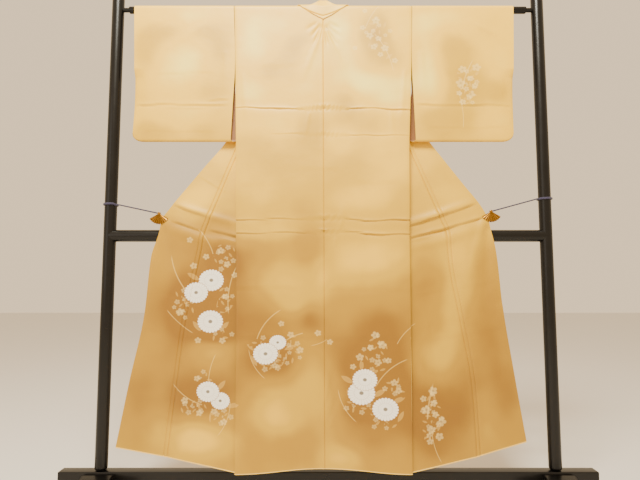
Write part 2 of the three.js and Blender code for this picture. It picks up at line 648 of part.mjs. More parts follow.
// A foot's side outline: a crown notched for the beam, and a slope down to each rounded end
function foot(name, x) {
  const half = FOOT.length / 2;
  const notch = BEAM.depth / 2 + JOINT_GAP;
  const { round } = FOOT;
  const shape = new THREE.Shape();
  shape.moveTo(-half, 0);
  shape.lineTo(half, 0);
  shape.lineTo(half, FOOT.end - round);
  shape.absarc(half - round, FOOT.end - round, round, 0, Math.PI / 2, false);
  shape.lineTo(FOOT.crown, FOOT.height);
  shape.lineTo(notch, FOOT.height);
  shape.lineTo(notch, BEAM.bottom - JOINT_GAP);
  shape.lineTo(-notch, BEAM.bottom - JOINT_GAP);
  shape.lineTo(-notch, FOOT.height);
  shape.lineTo(-FOOT.crown, FOOT.height);
  shape.absarc(-half + round, FOOT.end - round, round, Math.PI / 2, Math.PI, false);
  shape.closePath();
  const block = new THREE.ExtrudeGeometry(shape, { depth: FOOT.width, bevelEnabled: false, curveSegments: 6 });
  block.rotateX(Math.PI / 2);
  block.rotateZ(Math.PI / 2);
  block.translate(x - FOOT.width / 2, 0, 0);
  return named(name, toGeometry(toSolid(block)), lacquer());
}

// Fan clip: a pleated fan in front of the cloth and a plain jaw behind it, joined by one pivot
function fanGrid(place, y, depth) {
  return [4, 20, FAN.radius].map((radius) => steps(2 * FAN.pleats).map((t, k) => {
    const turn = radians(mix(-FAN.halfAngle, FAN.halfAngle, t));
    const reach = radius === FAN.radius && k % 2 ? radius - 1.5 : radius;
    const fold = (k % 2 ? depth : -depth) * (radius / FAN.radius);
    return point(place.x + reach * Math.sin(turn), y + fold, place.z - reach * Math.cos(turn));
  }));
}

function fanClip(name, place) {
  const flat = (grid) => grid.map((row) => row.map(() => point(0, 1, 0)));
  const front = CLIP_CLOTH_Y - CLIP_GRIP - FAN.pleat - FAN.plate / 2;
  const rear = CLIP_CLOTH_Y + CLIP_GRIP + FAN.plate / 2;
  const fan = fanGrid(place, front, FAN.pleat);
  const jaw = fanGrid(place, rear, 0);
  const barrel = new THREE.CylinderGeometry(CLIP_BARREL, CLIP_BARREL, rear - front + 3, 16);
  barrel.translate(place.x, (rear + front) / 2, place.z);
  return named(name, joined(
    wallGeometry(fan, flat(fan), FAN.plate), wallGeometry(jaw, flat(jaw), FAN.plate), barrel,
  ), brass());
}

// Cords: a taut stretch from the clip's pivot to the post and two turns round the post
function cordPieces(edge, place, postZ) {
  const outward = Math.sign(place.x);
  const start = point(place.x + outward * (CLIP_BARREL + CORD_START_GAP), CLIP_CLOTH_Y - 1, place.z + 1);
  const wrapOuter = POST_RADIUS + JOINT_GAP + 2 * WRAP.radius;
  const end = point(
    outward * (POST_X - Math.sqrt(wrapOuter ** 2 - CORD_END_Y ** 2) - CORD_END_GAP), CORD_END_Y, postZ,
  );
  const route = new THREE.LineCurve3(start, end);
  const ring = new THREE.Shape(steps(8).slice(0, -1).map((t) => new THREE.Vector2(
    CORD_RADIUS * Math.cos(2 * Math.PI * t), CORD_RADIUS * Math.sin(2 * Math.PI * t),
  )));
  const tube = new THREE.ExtrudeGeometry(ring, { steps: 14, extrudePath: route });
  const middle = POST_RADIUS + JOINT_GAP + WRAP.radius;
  const high = WRAP.turns * WRAP.radius;
  const profile = [];
  for (const [z, sweep] of [[high / 2, 0], [-high / 2, Math.PI]]) {
    steps(3).forEach((t) => {
      const turn = sweep + Math.PI * t;
      profile.push(new THREE.Vector2(middle + WRAP.radius * Math.cos(turn), z + WRAP.radius * Math.sin(turn)));
    });
  }
  profile.push(profile[0].clone());
  const wrap = new THREE.LatheGeometry(profile, 24);
  wrap.rotateX(Math.PI / 2);
  wrap.translate(outward * POST_X, 0, postZ);
  return [
    named(`cord_${edge}`, toGeometry(toSolid(tube)), braid()),
    named(`cord_wrap_${edge}`, toGeometry(toSolid(wrap)), braid()),
  ];
}

const LEFT = { edge: 'left', inward: 1, table: FRONT_LEFT, tucks: TUCKS_LEFT };
const RIGHT = { edge: 'right', inward: -1, table: FRONT_RIGHT, tucks: TUCKS_RIGHT };

const kimono = new THREE.Group();
kimono.add(
  backPanel('back_left', -1), backPanel('back_right', 1), ...frontPanels(LEFT), ...frontPanels(RIGHT),
  collar(LEFT, RIGHT), sleeve('sleeve_left', SLEEVE_LEFT), sleeve('sleeve_right', SLEEVE_RIGHT),
);

const stand = new THREE.Group();
stand.add(
  upright('post_left', -POST_X), upright('post_right', POST_X), hangingRod(), middleRail(), baseBeam(),
  foot('foot_left', -POST_X), foot('foot_right', POST_X),
);

const fastenings = new THREE.Group();
fastenings.add(
  fanClip('clip_left', CLIP_LEFT), fanClip('clip_right', CLIP_RIGHT),
  ...cordPieces('left', CLIP_LEFT, CORD_POST_Z_LEFT), ...cordPieces('right', CLIP_RIGHT, CORD_POST_Z_RIGHT),
);

const object = new THREE.Group();
object.add(stand, kimono, fastenings);
export default object;
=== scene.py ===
# %% [markdown]
# # A homongi kimono on its stand
# A homongi is a visiting kimono: lined silk, dyed in soft clouds of colour, with flowers that run across
# the seams. Here it is shown from its back. A rod goes through both sleeves, and two fan clips draw the
# fronts out to the posts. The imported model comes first, and every piece below is made around it.

# %% Load the frame
import math

import bmesh
import bpy
import numpy as np
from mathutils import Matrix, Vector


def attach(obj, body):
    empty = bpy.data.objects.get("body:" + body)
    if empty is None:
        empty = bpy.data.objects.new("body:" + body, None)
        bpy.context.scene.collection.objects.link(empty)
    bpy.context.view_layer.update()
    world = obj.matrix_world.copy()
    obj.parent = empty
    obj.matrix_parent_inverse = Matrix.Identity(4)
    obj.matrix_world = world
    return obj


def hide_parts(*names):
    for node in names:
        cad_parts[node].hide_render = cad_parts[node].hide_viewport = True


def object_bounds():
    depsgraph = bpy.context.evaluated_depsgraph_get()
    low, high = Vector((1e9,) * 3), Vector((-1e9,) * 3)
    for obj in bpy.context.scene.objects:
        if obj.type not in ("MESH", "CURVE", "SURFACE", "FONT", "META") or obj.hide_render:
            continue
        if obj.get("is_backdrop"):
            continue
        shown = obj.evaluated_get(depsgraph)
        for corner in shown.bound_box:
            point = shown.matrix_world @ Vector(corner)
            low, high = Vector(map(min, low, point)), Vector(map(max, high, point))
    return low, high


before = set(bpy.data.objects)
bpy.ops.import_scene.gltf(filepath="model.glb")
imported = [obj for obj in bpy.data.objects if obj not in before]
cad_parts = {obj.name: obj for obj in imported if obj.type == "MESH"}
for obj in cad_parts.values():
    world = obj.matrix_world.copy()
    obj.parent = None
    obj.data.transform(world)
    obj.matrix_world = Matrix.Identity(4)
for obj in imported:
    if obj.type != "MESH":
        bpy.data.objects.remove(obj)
cad_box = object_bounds()
bpy.ops.object.select_all(action="DESELECT")
MM = 0.001
print("nodes", len(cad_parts), "box", cad_box)

# %% [markdown]
# ## Camera
# The posts lean together at the top of the picture, so the camera looked up a little. It stood about
# 1.6 m from the stand, at hip height, with a wide lens.

# %% Camera
CAMERA_PLACE = (-26.5, -1600.0, 690.0)
CAMERA_TILT = 4.9
CAMERA_LENS = 27.0

camera_data = bpy.data.cameras.new("camera")
camera_data.lens = CAMERA_LENS
camera = bpy.data.objects.new("camera", camera_data)
camera.location = [value * MM for value in CAMERA_PLACE]
camera.rotation_euler = (math.radians(90 + CAMERA_TILT), 0, 0)
bpy.context.scene.collection.objects.link(camera)
bpy.context.scene.camera = camera

# %% [markdown]
# ## Meshes from numbers
# Cloth and cords follow curves, so they are made from grids of points. One helper turns points, faces and
# a material for each face into an object that rides on the stand.


# %% Helper for meshes
def new_piece(name, points, faces, materials, face_material=None, sharp=50):
    """An object made of points in millimetres; edges sharper than sharp degrees stay sharp"""
    mesh = bpy.data.meshes.new(name)
    mesh.from_pydata((np.asarray(points) * MM).tolist(), [], faces)
    for material in materials:
        mesh.materials.append(material)
    if face_material is not None:
        mesh.polygons.foreach_set("material_index", np.asarray(face_material, dtype=np.int32))
    mesh.polygons.foreach_set("use_smooth", np.ones(len(mesh.polygons), dtype=bool))
    mesh.update()
    if sharp:
        mesh.set_sharp_from_angle(angle=math.radians(sharp))
    piece = bpy.data.objects.new(name, mesh)
    bpy.context.scene.collection.objects.link(piece)
    return piece


def stands_for(piece, *nodes):
    """Let a piece ride on the stand in place of its nodes"""
    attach(piece, "root")
    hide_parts(*nodes)


# %% Helpers for shader nodes
def add_node(tree, kind, inputs=None, **settings):
    """A node whose inputs are links where they are sockets and values where they are not"""
    made = tree.nodes.new(kind)
    for key, value in settings.items():
        setattr(made, key, value)
    for key, value in (inputs or {}).items():
        if isinstance(value, bpy.types.NodeSocket):
            tree.links.new(value, made.inputs[key])
        else:
            made.inputs[key].default_value = value
    return made


def calc(tree, operation, first, second=0.0, third=0.0, clamp=False):
    inputs = {0: first, 1: second, 2: third}
    return add_node(tree, "ShaderNodeMath", inputs, operation=operation, use_clamp=clamp).outputs[0]


def ramp(tree, value, low, high):
    """0 below low, 1 above high, and soft between them"""
    inputs = {"Value": value, "From Min": low, "From Max": high}
    made = add_node(tree, "ShaderNodeMapRange", inputs, interpolation_type="SMOOTHSTEP", clamp=True)
    return made.outputs["Result"]


def blend_colour(tree, amount, first, second):
    made = add_node(tree, "ShaderNodeMix", {0: amount}, data_type="RGBA")
    for key, value in ((6, first), (7, second)):
        if isinstance(value, bpy.types.NodeSocket):
            tree.links.new(value, made.inputs[key])
        else:
            made.inputs[key].default_value = value
    return made.outputs[2]


def colour(*screen):
    """A colour named by its 0 to 255 screen values"""
    linear = [((v / 255 + 0.055) / 1.055) ** 2.4 if v > 10 else v / 255 / 12.92 for v in screen]
    return (*linear, 1.0)


def noise(tree, scale, detail=2.0):
    """Random mottling that is fixed to the object"""
    place = add_node(tree, "ShaderNodeTexCoord").outputs["Object"]
    inputs = {"Vector": place, "Scale": scale, "Detail": detail}
    return add_node(tree, "ShaderNodeTexNoise", inputs).outputs["Fac"]


def roughen(tree, shader, height, strength, distance):
    """Tilt the surface's normals as if it rose and fell by distance"""
    inputs = {"Height": height, "Strength": strength, "Distance": distance}
    made = add_node(tree, "ShaderNodeBump", inputs)
    tree.links.new(made.outputs["Normal"], shader.inputs["Normal"])


def mottle(tree, shader, amount, first, second):
    """Colour the surface from first to second, as amount goes from 0 to 1"""
    tone = blend_colour(tree, amount, colour(*first), colour(*second))
    tree.links.new(tone, shader.inputs["Base Color"])


def new_material(name, **sockets):
    """A material with values for its shader's sockets, its node tree and its shader"""
    material = bpy.data.materials.new(name)
    material.use_nodes = True
    shader = material.node_tree.nodes["Principled BSDF"]
    for key, value in sockets.items():
        shader.inputs[key.replace("_", " ")].default_value = value
    return material, material.node_tree, shader


# %% [markdown]
# ## Cords
# Each clip is tied to its post by a dark braided cord. The taut stretch is one twisted tube, and two turns
# of the same cord hold it on the post. A twist of three strands shows in the surface.

# %% Cord material
cord_material, tree, shader = new_material("cord", Roughness=0.75, Sheen_Weight=0.3)
cord_material.diffuse_color = colour(34, 30, 62)
threads = noise(tree, 1400.0, 3.0)
mottle(tree, shader, threads, (16, 14, 34), (58, 52, 92))
roughen(tree, shader, threads, 0.5, 0.0004)

# %% Cord sizes
POST_X = 730.0
POST_RADIUS = 20.0
CLIP_PLACE = {"left": (-558.0, 913.0), "right": (539.0, 920.0)}
CLIP_CLOTH_Y = -25.5
CLIP_BARREL = 4.5
CORD_RADIUS = 2.3
CORD_END_Y = -9.0
CORD_OFFSET = 1.0
CORD_START_GAP = 0.45
CORD_END_GAP = 1.1
CORD_POST_Z = {"left": 946.0, "right": 966.0}
WRAP_RADIUS = 2.4
WRAP_GAP = 0.3
CORD_PITCH = 14.0
CORD_POINTS = 90
WRAP_POINTS = 260
WRAP_TURNS = 2
WRAP_START = 0.7
WRAP_CLIMB = 1.05
STRANDS = 3
STRAND_DEPTH = 0.16
TIP_SHARE = 0.55


# %% Twisted tube along a path
def twisted_tube(path, radius, sides=18):
    """Rings of points round a path, with the grooves of a twist, and the faces between them"""
    path = np.asarray(path, dtype=float)
    along = np.gradient(path, axis=0)
    along /= np.linalg.norm(along, axis=1, keepdims=True)
    side = np.cross(along, [0.0, 0.0, 1.0])
    side /= np.linalg.norm(side, axis=1, keepdims=True)
    top = np.cross(side, along)
    travelled = np.concatenate([[0], np.cumsum(np.linalg.norm(np.diff(path, axis=0), axis=1))])
    turn = np.linspace(0, 2 * math.pi, sides, endpoint=False)
    groove = np.abs(np.sin(STRANDS / 2 * (turn[None, :] + 2 * math.pi * travelled[:, None] / CORD_PITCH)))
    reach = radius * (1 - STRAND_DEPTH + STRAND_DEPTH * groove)
    taper = np.clip(np.minimum(travelled, travelled[-1] - travelled) / radius, 0, 1)
    reach = reach * (TIP_SHARE + (1 - TIP_SHARE) * np.sqrt(taper))[:, None]
    rings = path[:, None, :] + reach[..., None] * (
        np.cos(turn)[None, :, None] * side[:, None, :] + np.sin(turn)[None, :, None] * top[:, None, :])
    points = rings.reshape(-1, 3).tolist()
    faces = []
    for i in range(len(path) - 1):
        for j in range(sides):
            k = (j + 1) % sides
            faces.append((i * sides + j, (i + 1) * sides + j, (i + 1) * sides + k, i * sides + k))
    for ring, centre, order in ((0, path[0], 1), (len(path) - 1, path[-1], -1)):
        points.append(centre.tolist())
        middle = len(points) - 1
        for j in range(sides):
            rim = (ring * sides + j, ring * sides + (j + 1) % sides)[::order]
            faces.append((*rim, middle))
    return np.array(points), faces


def facing_out(piece):
    """Turn a closed piece's faces outwards"""
    work = bmesh.new()
    work.from_mesh(piece.data)
    bmesh.ops.recalc_face_normals(work, faces=work.faces)
    work.to_mesh(piece.data)
    work.free()


# %% Make both cords
def make_cord(edge):
    """The taut stretch from a clip to its post, and its turns round the post"""
    clip_x, clip_z = CLIP_PLACE[edge]
    outward = math.copysign(1, clip_x)
    start_x = clip_x + outward * (CLIP_BARREL + CORD_START_GAP)
    start = np.array([start_x, CLIP_CLOTH_Y - CORD_OFFSET, clip_z + CORD_OFFSET])
    wrap_outer = POST_RADIUS + WRAP_GAP + 2 * WRAP_RADIUS
    end_x = outward * (POST_X - math.sqrt(wrap_outer ** 2 - CORD_END_Y ** 2) - CORD_END_GAP)
    end = np.array([end_x, CORD_END_Y, CORD_POST_Z[edge]])
    path = start + (end - start) * np.linspace(0, 1, CORD_POINTS)[:, None]
    points, faces = twisted_tube(path, CORD_RADIUS)
    taut = new_piece(f"tie_{edge}", points, faces, [cord_material], sharp=0)
    facing_out(taut)
    stands_for(taut, f"cord_{edge}")
    middle = POST_RADIUS + WRAP_GAP + WRAP_RADIUS
    first = (math.pi if outward > 0 else 0) - WRAP_START
    turn = first + np.linspace(0, 2 * math.pi * WRAP_TURNS, WRAP_POINTS)
    z = CORD_POST_Z[edge] + np.linspace(-WRAP_RADIUS, WRAP_RADIUS, WRAP_POINTS) * WRAP_CLIMB
    ring = np.stack([outward * POST_X + middle * np.cos(turn), middle * np.sin(turn), z], axis=1)
    points, faces = twisted_tube(ring, WRAP_RADIUS, sides=14)
    wrap = new_piece(f"tie_turns_{edge}", points, faces, [cord_material], sharp=0)
    facing_out(wrap)
    stands_for(wrap, f"cord_wrap_{edge}")


for edge in ("left", "right"):
    make_cord(edge)

# %% [markdown]
# ## Cloth from tables
# A kimono is straight strips of cloth, so each strip is a grid of points. The tables below give where its
# edges hang at a few heights, the same places as in the CAD, and a smooth curve fills the heights between.

# %% Reading a table
def table(columns, *lines):
    """Columns of numbers by name, with the heights in z from low to high"""
    return {name: np.array(values, dtype=float) for name, values in zip(columns, zip(*lines))}


def follow(rows, at, column):
    """A smooth curve through the rows that never overshoots them"""
    z, value = rows["z"], rows[column]
    slope = np.diff(value) / np.diff(z)
    product = slope[:-1] * slope[1:]
    total = np.where(product > 0, slope[:-1] + slope[1:], 1)
    tangent = np.concatenate([slope[:1], np.where(product > 0, 2 * product / total, 0), slope[-1:]])
    at = np.clip(at, z[0], z[-1])
    i = np.clip(np.searchsorted(z, at) - 1, 0, len(z) - 2)
    step = z[i + 1] - z[i]
    t = (at - z[i]) / step
    start = value[i] * (1 + 2 * t) * (1 - t) ** 2 + step * tangent[i] * t * (1 - t) ** 2
    return start + value[i + 1] * t * t * (3 - 2 * t) - step * tangent[i + 1] * t * t * (1 - t)


def mix(first, second, share):
    """first where share is 0 and second where it is 1"""
    return first + (second - first) * share


def wave(share):
    """A soft step from 0 to 1"""
    return (1 - np.cos(math.pi * share)) / 2


# %% Where the back hangs
ROD_Z = 1631.5
DRAPE_RADIUS = 13.6
QUARTER = math.pi / 2 * DRAPE_RADIUS
BODY_HALF = 305.0
NECK_HALF_WIDTH = 90.0
NECK_DROP = 62.0
NECK_CURVE = 0.75
HEM_CENTRE_Z = 106.0
HEM_SIDE_Z = 99.0
BACK_WIDTH = table(
    ("z", "left", "centre", "right"),
    (93, -288, -11, 257), (411, -291, -12, 262), (662, -295, -12.5, 263.6), (823, -299, -13, 264.3),
    (955, -303, -13.5, 267), (1124, -306, -14, 270.3), (1264, -310, -14.5, 276.8),
    (1441, -315.3, -15.3, 285.5), (1646, -323.4, -16, 291.2))
BACK_HANG = table(
    ("z", "centre", "side"),
    (93, -45, -75), (350, -47, -62), (600, -48.5, -53), (841, -48, -48), (905, -47, -47),
    (1155, -34, -34), (1400, -22, -22), (1560, -15, -15), (ROD_Z, -DRAPE_RADIUS, -DRAPE_RADIUS))

# %% Where each front hangs
# turn is the angle of the fold behind the back and open how far the two edges stand apart. fold is the
# width before that fold, then come the overlap seam and the outer edge.
FRONT_DEPTHS = table(
    ("z", "turn", "open", "foldY", "seamY", "edgeY"),
    (99, 180, 0, -72, -22, -8), (300, 180, 0, -60, -26, -16), (520, 180, 0, -48, -27, -24),
    (700, 180, 0, -40, -27, -26), (760, 180, 0, -38, -27, -26), (800, 180, 0, -37, -26.5, -26),
    (840, 180, 0, -36, -26, -24), (920, 180, 0, -31, -20, -17), (1000, 180, 0, -25, -13, -9),
    (1100, 180, 0, -16, -4, -1), (1200, 180, 0, -7, 5, 6), (1300, 180, 8, 1, 13, 14),
    (1400, 180, 25, 7, 21, 22), (1460, 165, 25, 10, 28, 28), (1520, 130, 24.8, 12.5, 36, 37),
    (1580, 70, 24.8, 13.5, 28, 29), (1610, 25, 24.8, 13.6, 17, 17.5), (ROD_Z, 10, 24.8, 13.6, 14.4, 14.6))
FRONT_COLUMNS = ("z", "fold", "seamX", "seamZ", "edgeX", "edgeZ")
FRONT_LEFT = table(
    FRONT_COLUMNS,
    (99, 8, -512.5, 133, -683, 157), (300, 16, -488, 345, -642, 368), (520, 28, -462, 562, -597, 585),
    (700, 42, -427, 738, -580, 770), (760, 50, -416, 798, -559, 842), (800, 56, -408, 846, -548, 893),
    (840, 62, -395, 884, -526, 927), (920, 76, -364, 965, -466, 1006), (1000, 92, -335, 1043, -414, 1074),
    (1100, 113, -298.5, 1140, -349, 1158), (1200, 134, -270, 1236, -305, 1246),
    (1300, 153, -236, 1328, -259, 1336), (1400, 171, -203, 1420, -213, 1424),
    (1460, 181, -171, 1470, -172, 1471), (1520, 190, -142, 1525, -143, 1525),
    (1580, 199, -113, 1582, -113, 1582), (1610, 204, -107, 1610, -106, 1610),
    (ROD_Z, 206, -106, ROD_Z, -105, ROD_Z))
FRONT_RIGHT = table(
    FRONT_COLUMNS,
    (99, 8, 473.5, 133, 637, 175), (300, 14, 461, 352, 601, 392), (520, 24, 428, 565, 568, 604),
    (700, 38, 398, 742, 552, 782), (760, 46, 394, 798, 540, 848), (800, 53, 390, 848, 527, 897),
    (840, 60, 375, 888, 509, 934), (920, 76, 344, 966, 452, 1013), (1000, 92, 313, 1044, 404, 1080),
    (1100, 112, 275, 1140, 350, 1155), (1200, 132, 246, 1236, 286, 1247),
    (1300, 152, 211, 1328, 235, 1336), (1400, 170, 176, 1420, 186, 1424),
    (1460, 180, 142, 1470, 143, 1471), (1520, 189, 111, 1525, 112, 1525), (1580, 198, 82, 1582, 82, 1582),
    (1610, 204, 75, 1610, 74, 1610), (ROD_Z, 206, 74, ROD_Z, 73, ROD_Z))
FOLD_ROLL = 4.0
OVERLAP_TOP_Z = 1400.0
LEFT = {"edge": "left", "inward": 1, "table": FRONT_LEFT, "tucks": ((785, 4.5, 13), (860, 4, 12))}
RIGHT = {"edge": "right", "inward": -1, "table": FRONT_RIGHT, "tucks": ((785, 4.3, 12), (865, 4.5, 12))}


# %% Grids for the body
def neck_drop(across):
    """How far the neck's cut edge lies below the top of the rod, along the cloth"""
    share = np.abs(across) * BODY_HALF / NECK_HALF_WIDTH
    return np.where(share >= 1, 0, NECK_DROP * np.maximum(1 - share, 0) ** NECK_CURVE)


def hem_drop(across):
    """How far the hem lies below the top of the rod, along the cloth"""
    return QUARTER + ROD_Z - mix(HEM_CENTRE_Z, HEM_SIDE_Z, wave(np.abs(across)))


def back_point(across, drop):
    """A place on the back: across is 0 on the centre seam and 1 on a side seam"""
    turn = drop / DRAPE_RADIUS
    over = drop < QUARTER
    z = np.where(over, ROD_Z + DRAPE_RADIUS * np.cos(turn), ROD_Z - (drop - QUARTER))
    edge = np.where(across < 0, follow(BACK_WIDTH, z, "left"), follow(BACK_WIDTH, z, "right"))
    x = mix(follow(BACK_WIDTH, z, "centre"), edge, np.abs(across))
    hang = mix(follow(BACK_HANG, z, "centre"), follow(BACK_HANG, z, "side"), wave(np.abs(across)))
    return np.stack([x, np.where(over, -DRAPE_RADIUS * np.sin(turn), hang), z], axis=-1)


SHARP_CREASES = (1270, 1177, 889, 846)
ROW_STEP, FINE_STEP, FINE_REACH = 7.5, 1.5, 8.5
HEM_STITCH = 3.2
NEAR_SEAM = (0.2, 0.8, 1.5, 2.5, 4, 6, 8.5)


def back_rows():
    """Heights from the rod down to the hem, close together where a strong crease crosses"""
    plain = np.arange(ROD_Z, HEM_SIDE_Z, -ROW_STEP)
    bands = [np.arange(centre + FINE_REACH, centre - FINE_REACH, -FINE_STEP) for centre in SHARP_CREASES]
    far = [abs(plain - centre) > FINE_REACH + FINE_STEP for centre in SHARP_CREASES]
    heights = np.concatenate([plain[np.all(far, axis=0)], *bands, [HEM_SIDE_Z + HEM_STITCH, HEM_SIDE_Z]])
    return np.sort(heights)[::-1]


def back_grid(sign):
    """One half of the back, from over the rod to the hem, with its columns closest at the centre seam"""
    columns = np.concatenate([NEAR_SEAM, np.arange(11, 62, 2.8), np.linspace(64, BODY_HALF, 44)]) / BODY_HALF
    drops = np.concatenate([np.linspace(0, QUARTER, 7)[:-1], QUARTER + ROD_Z - back_rows()])
    shares = (drops / drops[-1])[:, None]
    drop = mix(neck_drop(columns)[None, :], hem_drop(columns)[None, :], shares)
    return back_point(sign * columns[None, :] + 0 * drop, drop)


def tuck_lift(tucks, z, along):
    """How far the cloth bulges to the back in the tucks at clip height"""
    reach = np.sin(math.pi * along ** 1.3)
    return -reach * sum(depth * np.exp(-((z - centre) / spread) ** 2) for centre, depth, spread in tucks)


SEAM_MARKS = np.array([[0, 0.8, 1.6, 2.6, 4, 6.5, 9.5, 10.8, 11.6, 12.4, 13.2, 14.5, 17]])
FRONT_GAP = 2.4
FIRST_COLUMNS, ROLL_COLUMNS, SECOND_COLUMNS, LAP_COLUMNS = 25, 9, 39, 21
FIRST_LEG = FIRST_COLUMNS + ROLL_COLUMNS - 1


def front_rows(side, z):
    """Each row of a front from the side seam round the fold to the overlap, and each row of the overlap"""
    rows = {**FRONT_DEPTHS, **side["table"]}
    read = {name: follow(rows, z, name)[:, None] for name in rows if name != "z"}
    height = z[:, None]
    inward = side["inward"]
    side_x = follow(BACK_WIDTH, height, side["edge"])
    side_y = follow(BACK_HANG, height, "side") + FRONT_GAP + read["open"]
    fold_x = side_x + inward * read["fold"]
    turn = np.radians(read["turn"])
    seam = np.stack([read["seamX"], read["seamY"], read["seamZ"]], axis=-1)
    edge = np.stack([read["edgeX"], read["edgeY"], read["edgeZ"]], axis=-1)

    def roll_at(share):
        x = fold_x + inward * FOLD_ROLL * np.sin(turn * share)
        y = read["foldY"] + FOLD_ROLL * (1 - np.cos(turn * share))
        return np.stack([x, y, height + 0 * x], axis=-1)

    t = np.linspace(0, 1, FIRST_COLUMNS)[None, :]
    zero = 0 * t * height
    first = np.stack([mix(side_x, fold_x, t), mix(side_y, read["foldY"], t), height + zero], axis=-1)
    roll = roll_at(np.linspace(0, 1, ROLL_COLUMNS)[1:][None, :])
    out = (1 - (1 - np.linspace(0, 1, SECOND_COLUMNS)[1:]) ** 1.35)[None, :, None]
    second = mix(roll_at(np.ones((1, 1))), seam, out)
    width = np.linalg.norm(edge - seam, axis=-1)
    near = SEAM_MARKS * np.minimum(1, width / 50) / np.maximum(width, 1)
    lap = np.concatenate([near, mix(near[:, -1:], 1, np.linspace(0, 1, LAP_COLUMNS)[1:] ** 1.2)], axis=1)
    overlap = mix(seam, edge, lap[..., None])
    whole = np.abs(edge[..., 0] - fold_x) + 1
    for part in (second, overlap):
        along = np.minimum(1, np.abs(part[..., 0] - fold_x) / whole)
        part[..., 1] += tuck_lift(side["tucks"], height, along)
    return np.concatenate([first, roll, second], axis=1), overlap


FRONT_Z = np.concatenate([
    np.arange(ROD_Z, 975, -8.0), np.arange(975, 800, -3.2),
    np.linspace(800, HEM_SIDE_Z + HEM_STITCH, 100), [HEM_SIDE_Z]])


def front_grids(side):
    """One front from over the rod to its hem, and its overlap from where that begins"""
    panel, overlap = front_rows(side, FRONT_Z)
    turn = np.linspace(0, math.pi / 2, 7)[:-1]
    rod = np.repeat(panel[:1], len(turn), axis=0)
    rod[..., 1] = np.maximum(0.02, DRAPE_RADIUS * np.sin(turn))[:, None]
    rod[..., 2] = (ROD_Z + DRAPE_RADIUS * np.cos(turn))[:, None]
    return np.concatenate([rod, panel]), overlap[FRONT_Z <= OVERLAP_TOP_Z]


# %% [markdown]
# ## From a grid to a wall of cloth
# Real silk here is two thin layers sewn together, so every grid becomes a closed wall 1.6 mm thick. Its
# outer face is the dyed silk and its inner face the lining. Creases and seams move the grid a little along
# its own normals before it becomes a wall.

# %% Walls
SILK_WALL = 1.6


def grid_normals(grid, ring=False):
    if ring:
        across = np.roll(grid, -1, axis=1) - np.roll(grid, 1, axis=1)
    else:
        across = np.gradient(grid, axis=1)
    normal = np.cross(across, np.gradient(grid, axis=0))
    return normal / np.maximum(np.linalg.norm(normal, axis=2, keepdims=True), 1e-9)


def wall(grid, outside, thick=SILK_WALL, ring=False, hemmed=False):
    """Points and faces of a wall, and for each face 0 on the outside and 1 inside and along the hem"""
    normal = grid_normals(grid, ring) * outside
    height, width = grid.shape[:2]
    points = np.concatenate([grid + normal * thick / 2, grid - normal * thick / 2]).reshape(-1, 3)
    index = np.arange(height * width).reshape(height, width)
    if ring:
        index = np.concatenate([index, index[:, :1]], axis=1)
    a, b, c, d = index[:-1, :-1], index[:-1, 1:], index[1:, 1:], index[1:, :-1]
    front = np.stack([a, b, c, d], axis=-1).reshape(-1, 4)
    if outside < 0:
        front = front[:, ::-1]
    back = front[:, ::-1] + height * width
    rims = [(index[0], -1), (index[-1], 1)] + ([] if ring else [(index[:, 0], 1), (index[:, -1], -1)])
    edge = []
    for rim, way in rims:
        start, end = rim[:-1], rim[1:]
        quads = np.stack([start, end, end + height * width, start + height * width], axis=-1)
        edge.append(quads if way * outside > 0 else quads[:, ::-1])
    hem = np.repeat([0, 1, 0, 0][:len(edge)], [len(quads) for quads in edge])
    edge = np.concatenate(edge)
    faces = np.concatenate([front, back, edge])
    kind = np.concatenate([np.zeros(len(front), int), np.ones(len(back), int), hem])
    if hemmed:
        kind[len(front) - width + 1:len(front)] = 1
    return points, faces, kind


def several(walls):
    """Join walls into one piece's points, faces and kinds"""
    points, faces, kinds, start = [], [], [], 0
    for wall_points, wall_faces, kind in walls:
        points.append(wall_points)
        faces.append(wall_faces + start)
        kinds.append(kind)
        start += len(wall_points)
    return np.concatenate(points), np.concatenate(faces), np.concatenate(kinds)


# %% [markdown]
# ## Creases and seams
# The kimono was folded flat for storage, and those folds still cross it. Each row below is one crease: its
# height, how deep and wide it is, from where to where it runs, how far it wanders and how much it slopes. The
# cloth swells a little above the line, steps in at it and swells out again below.

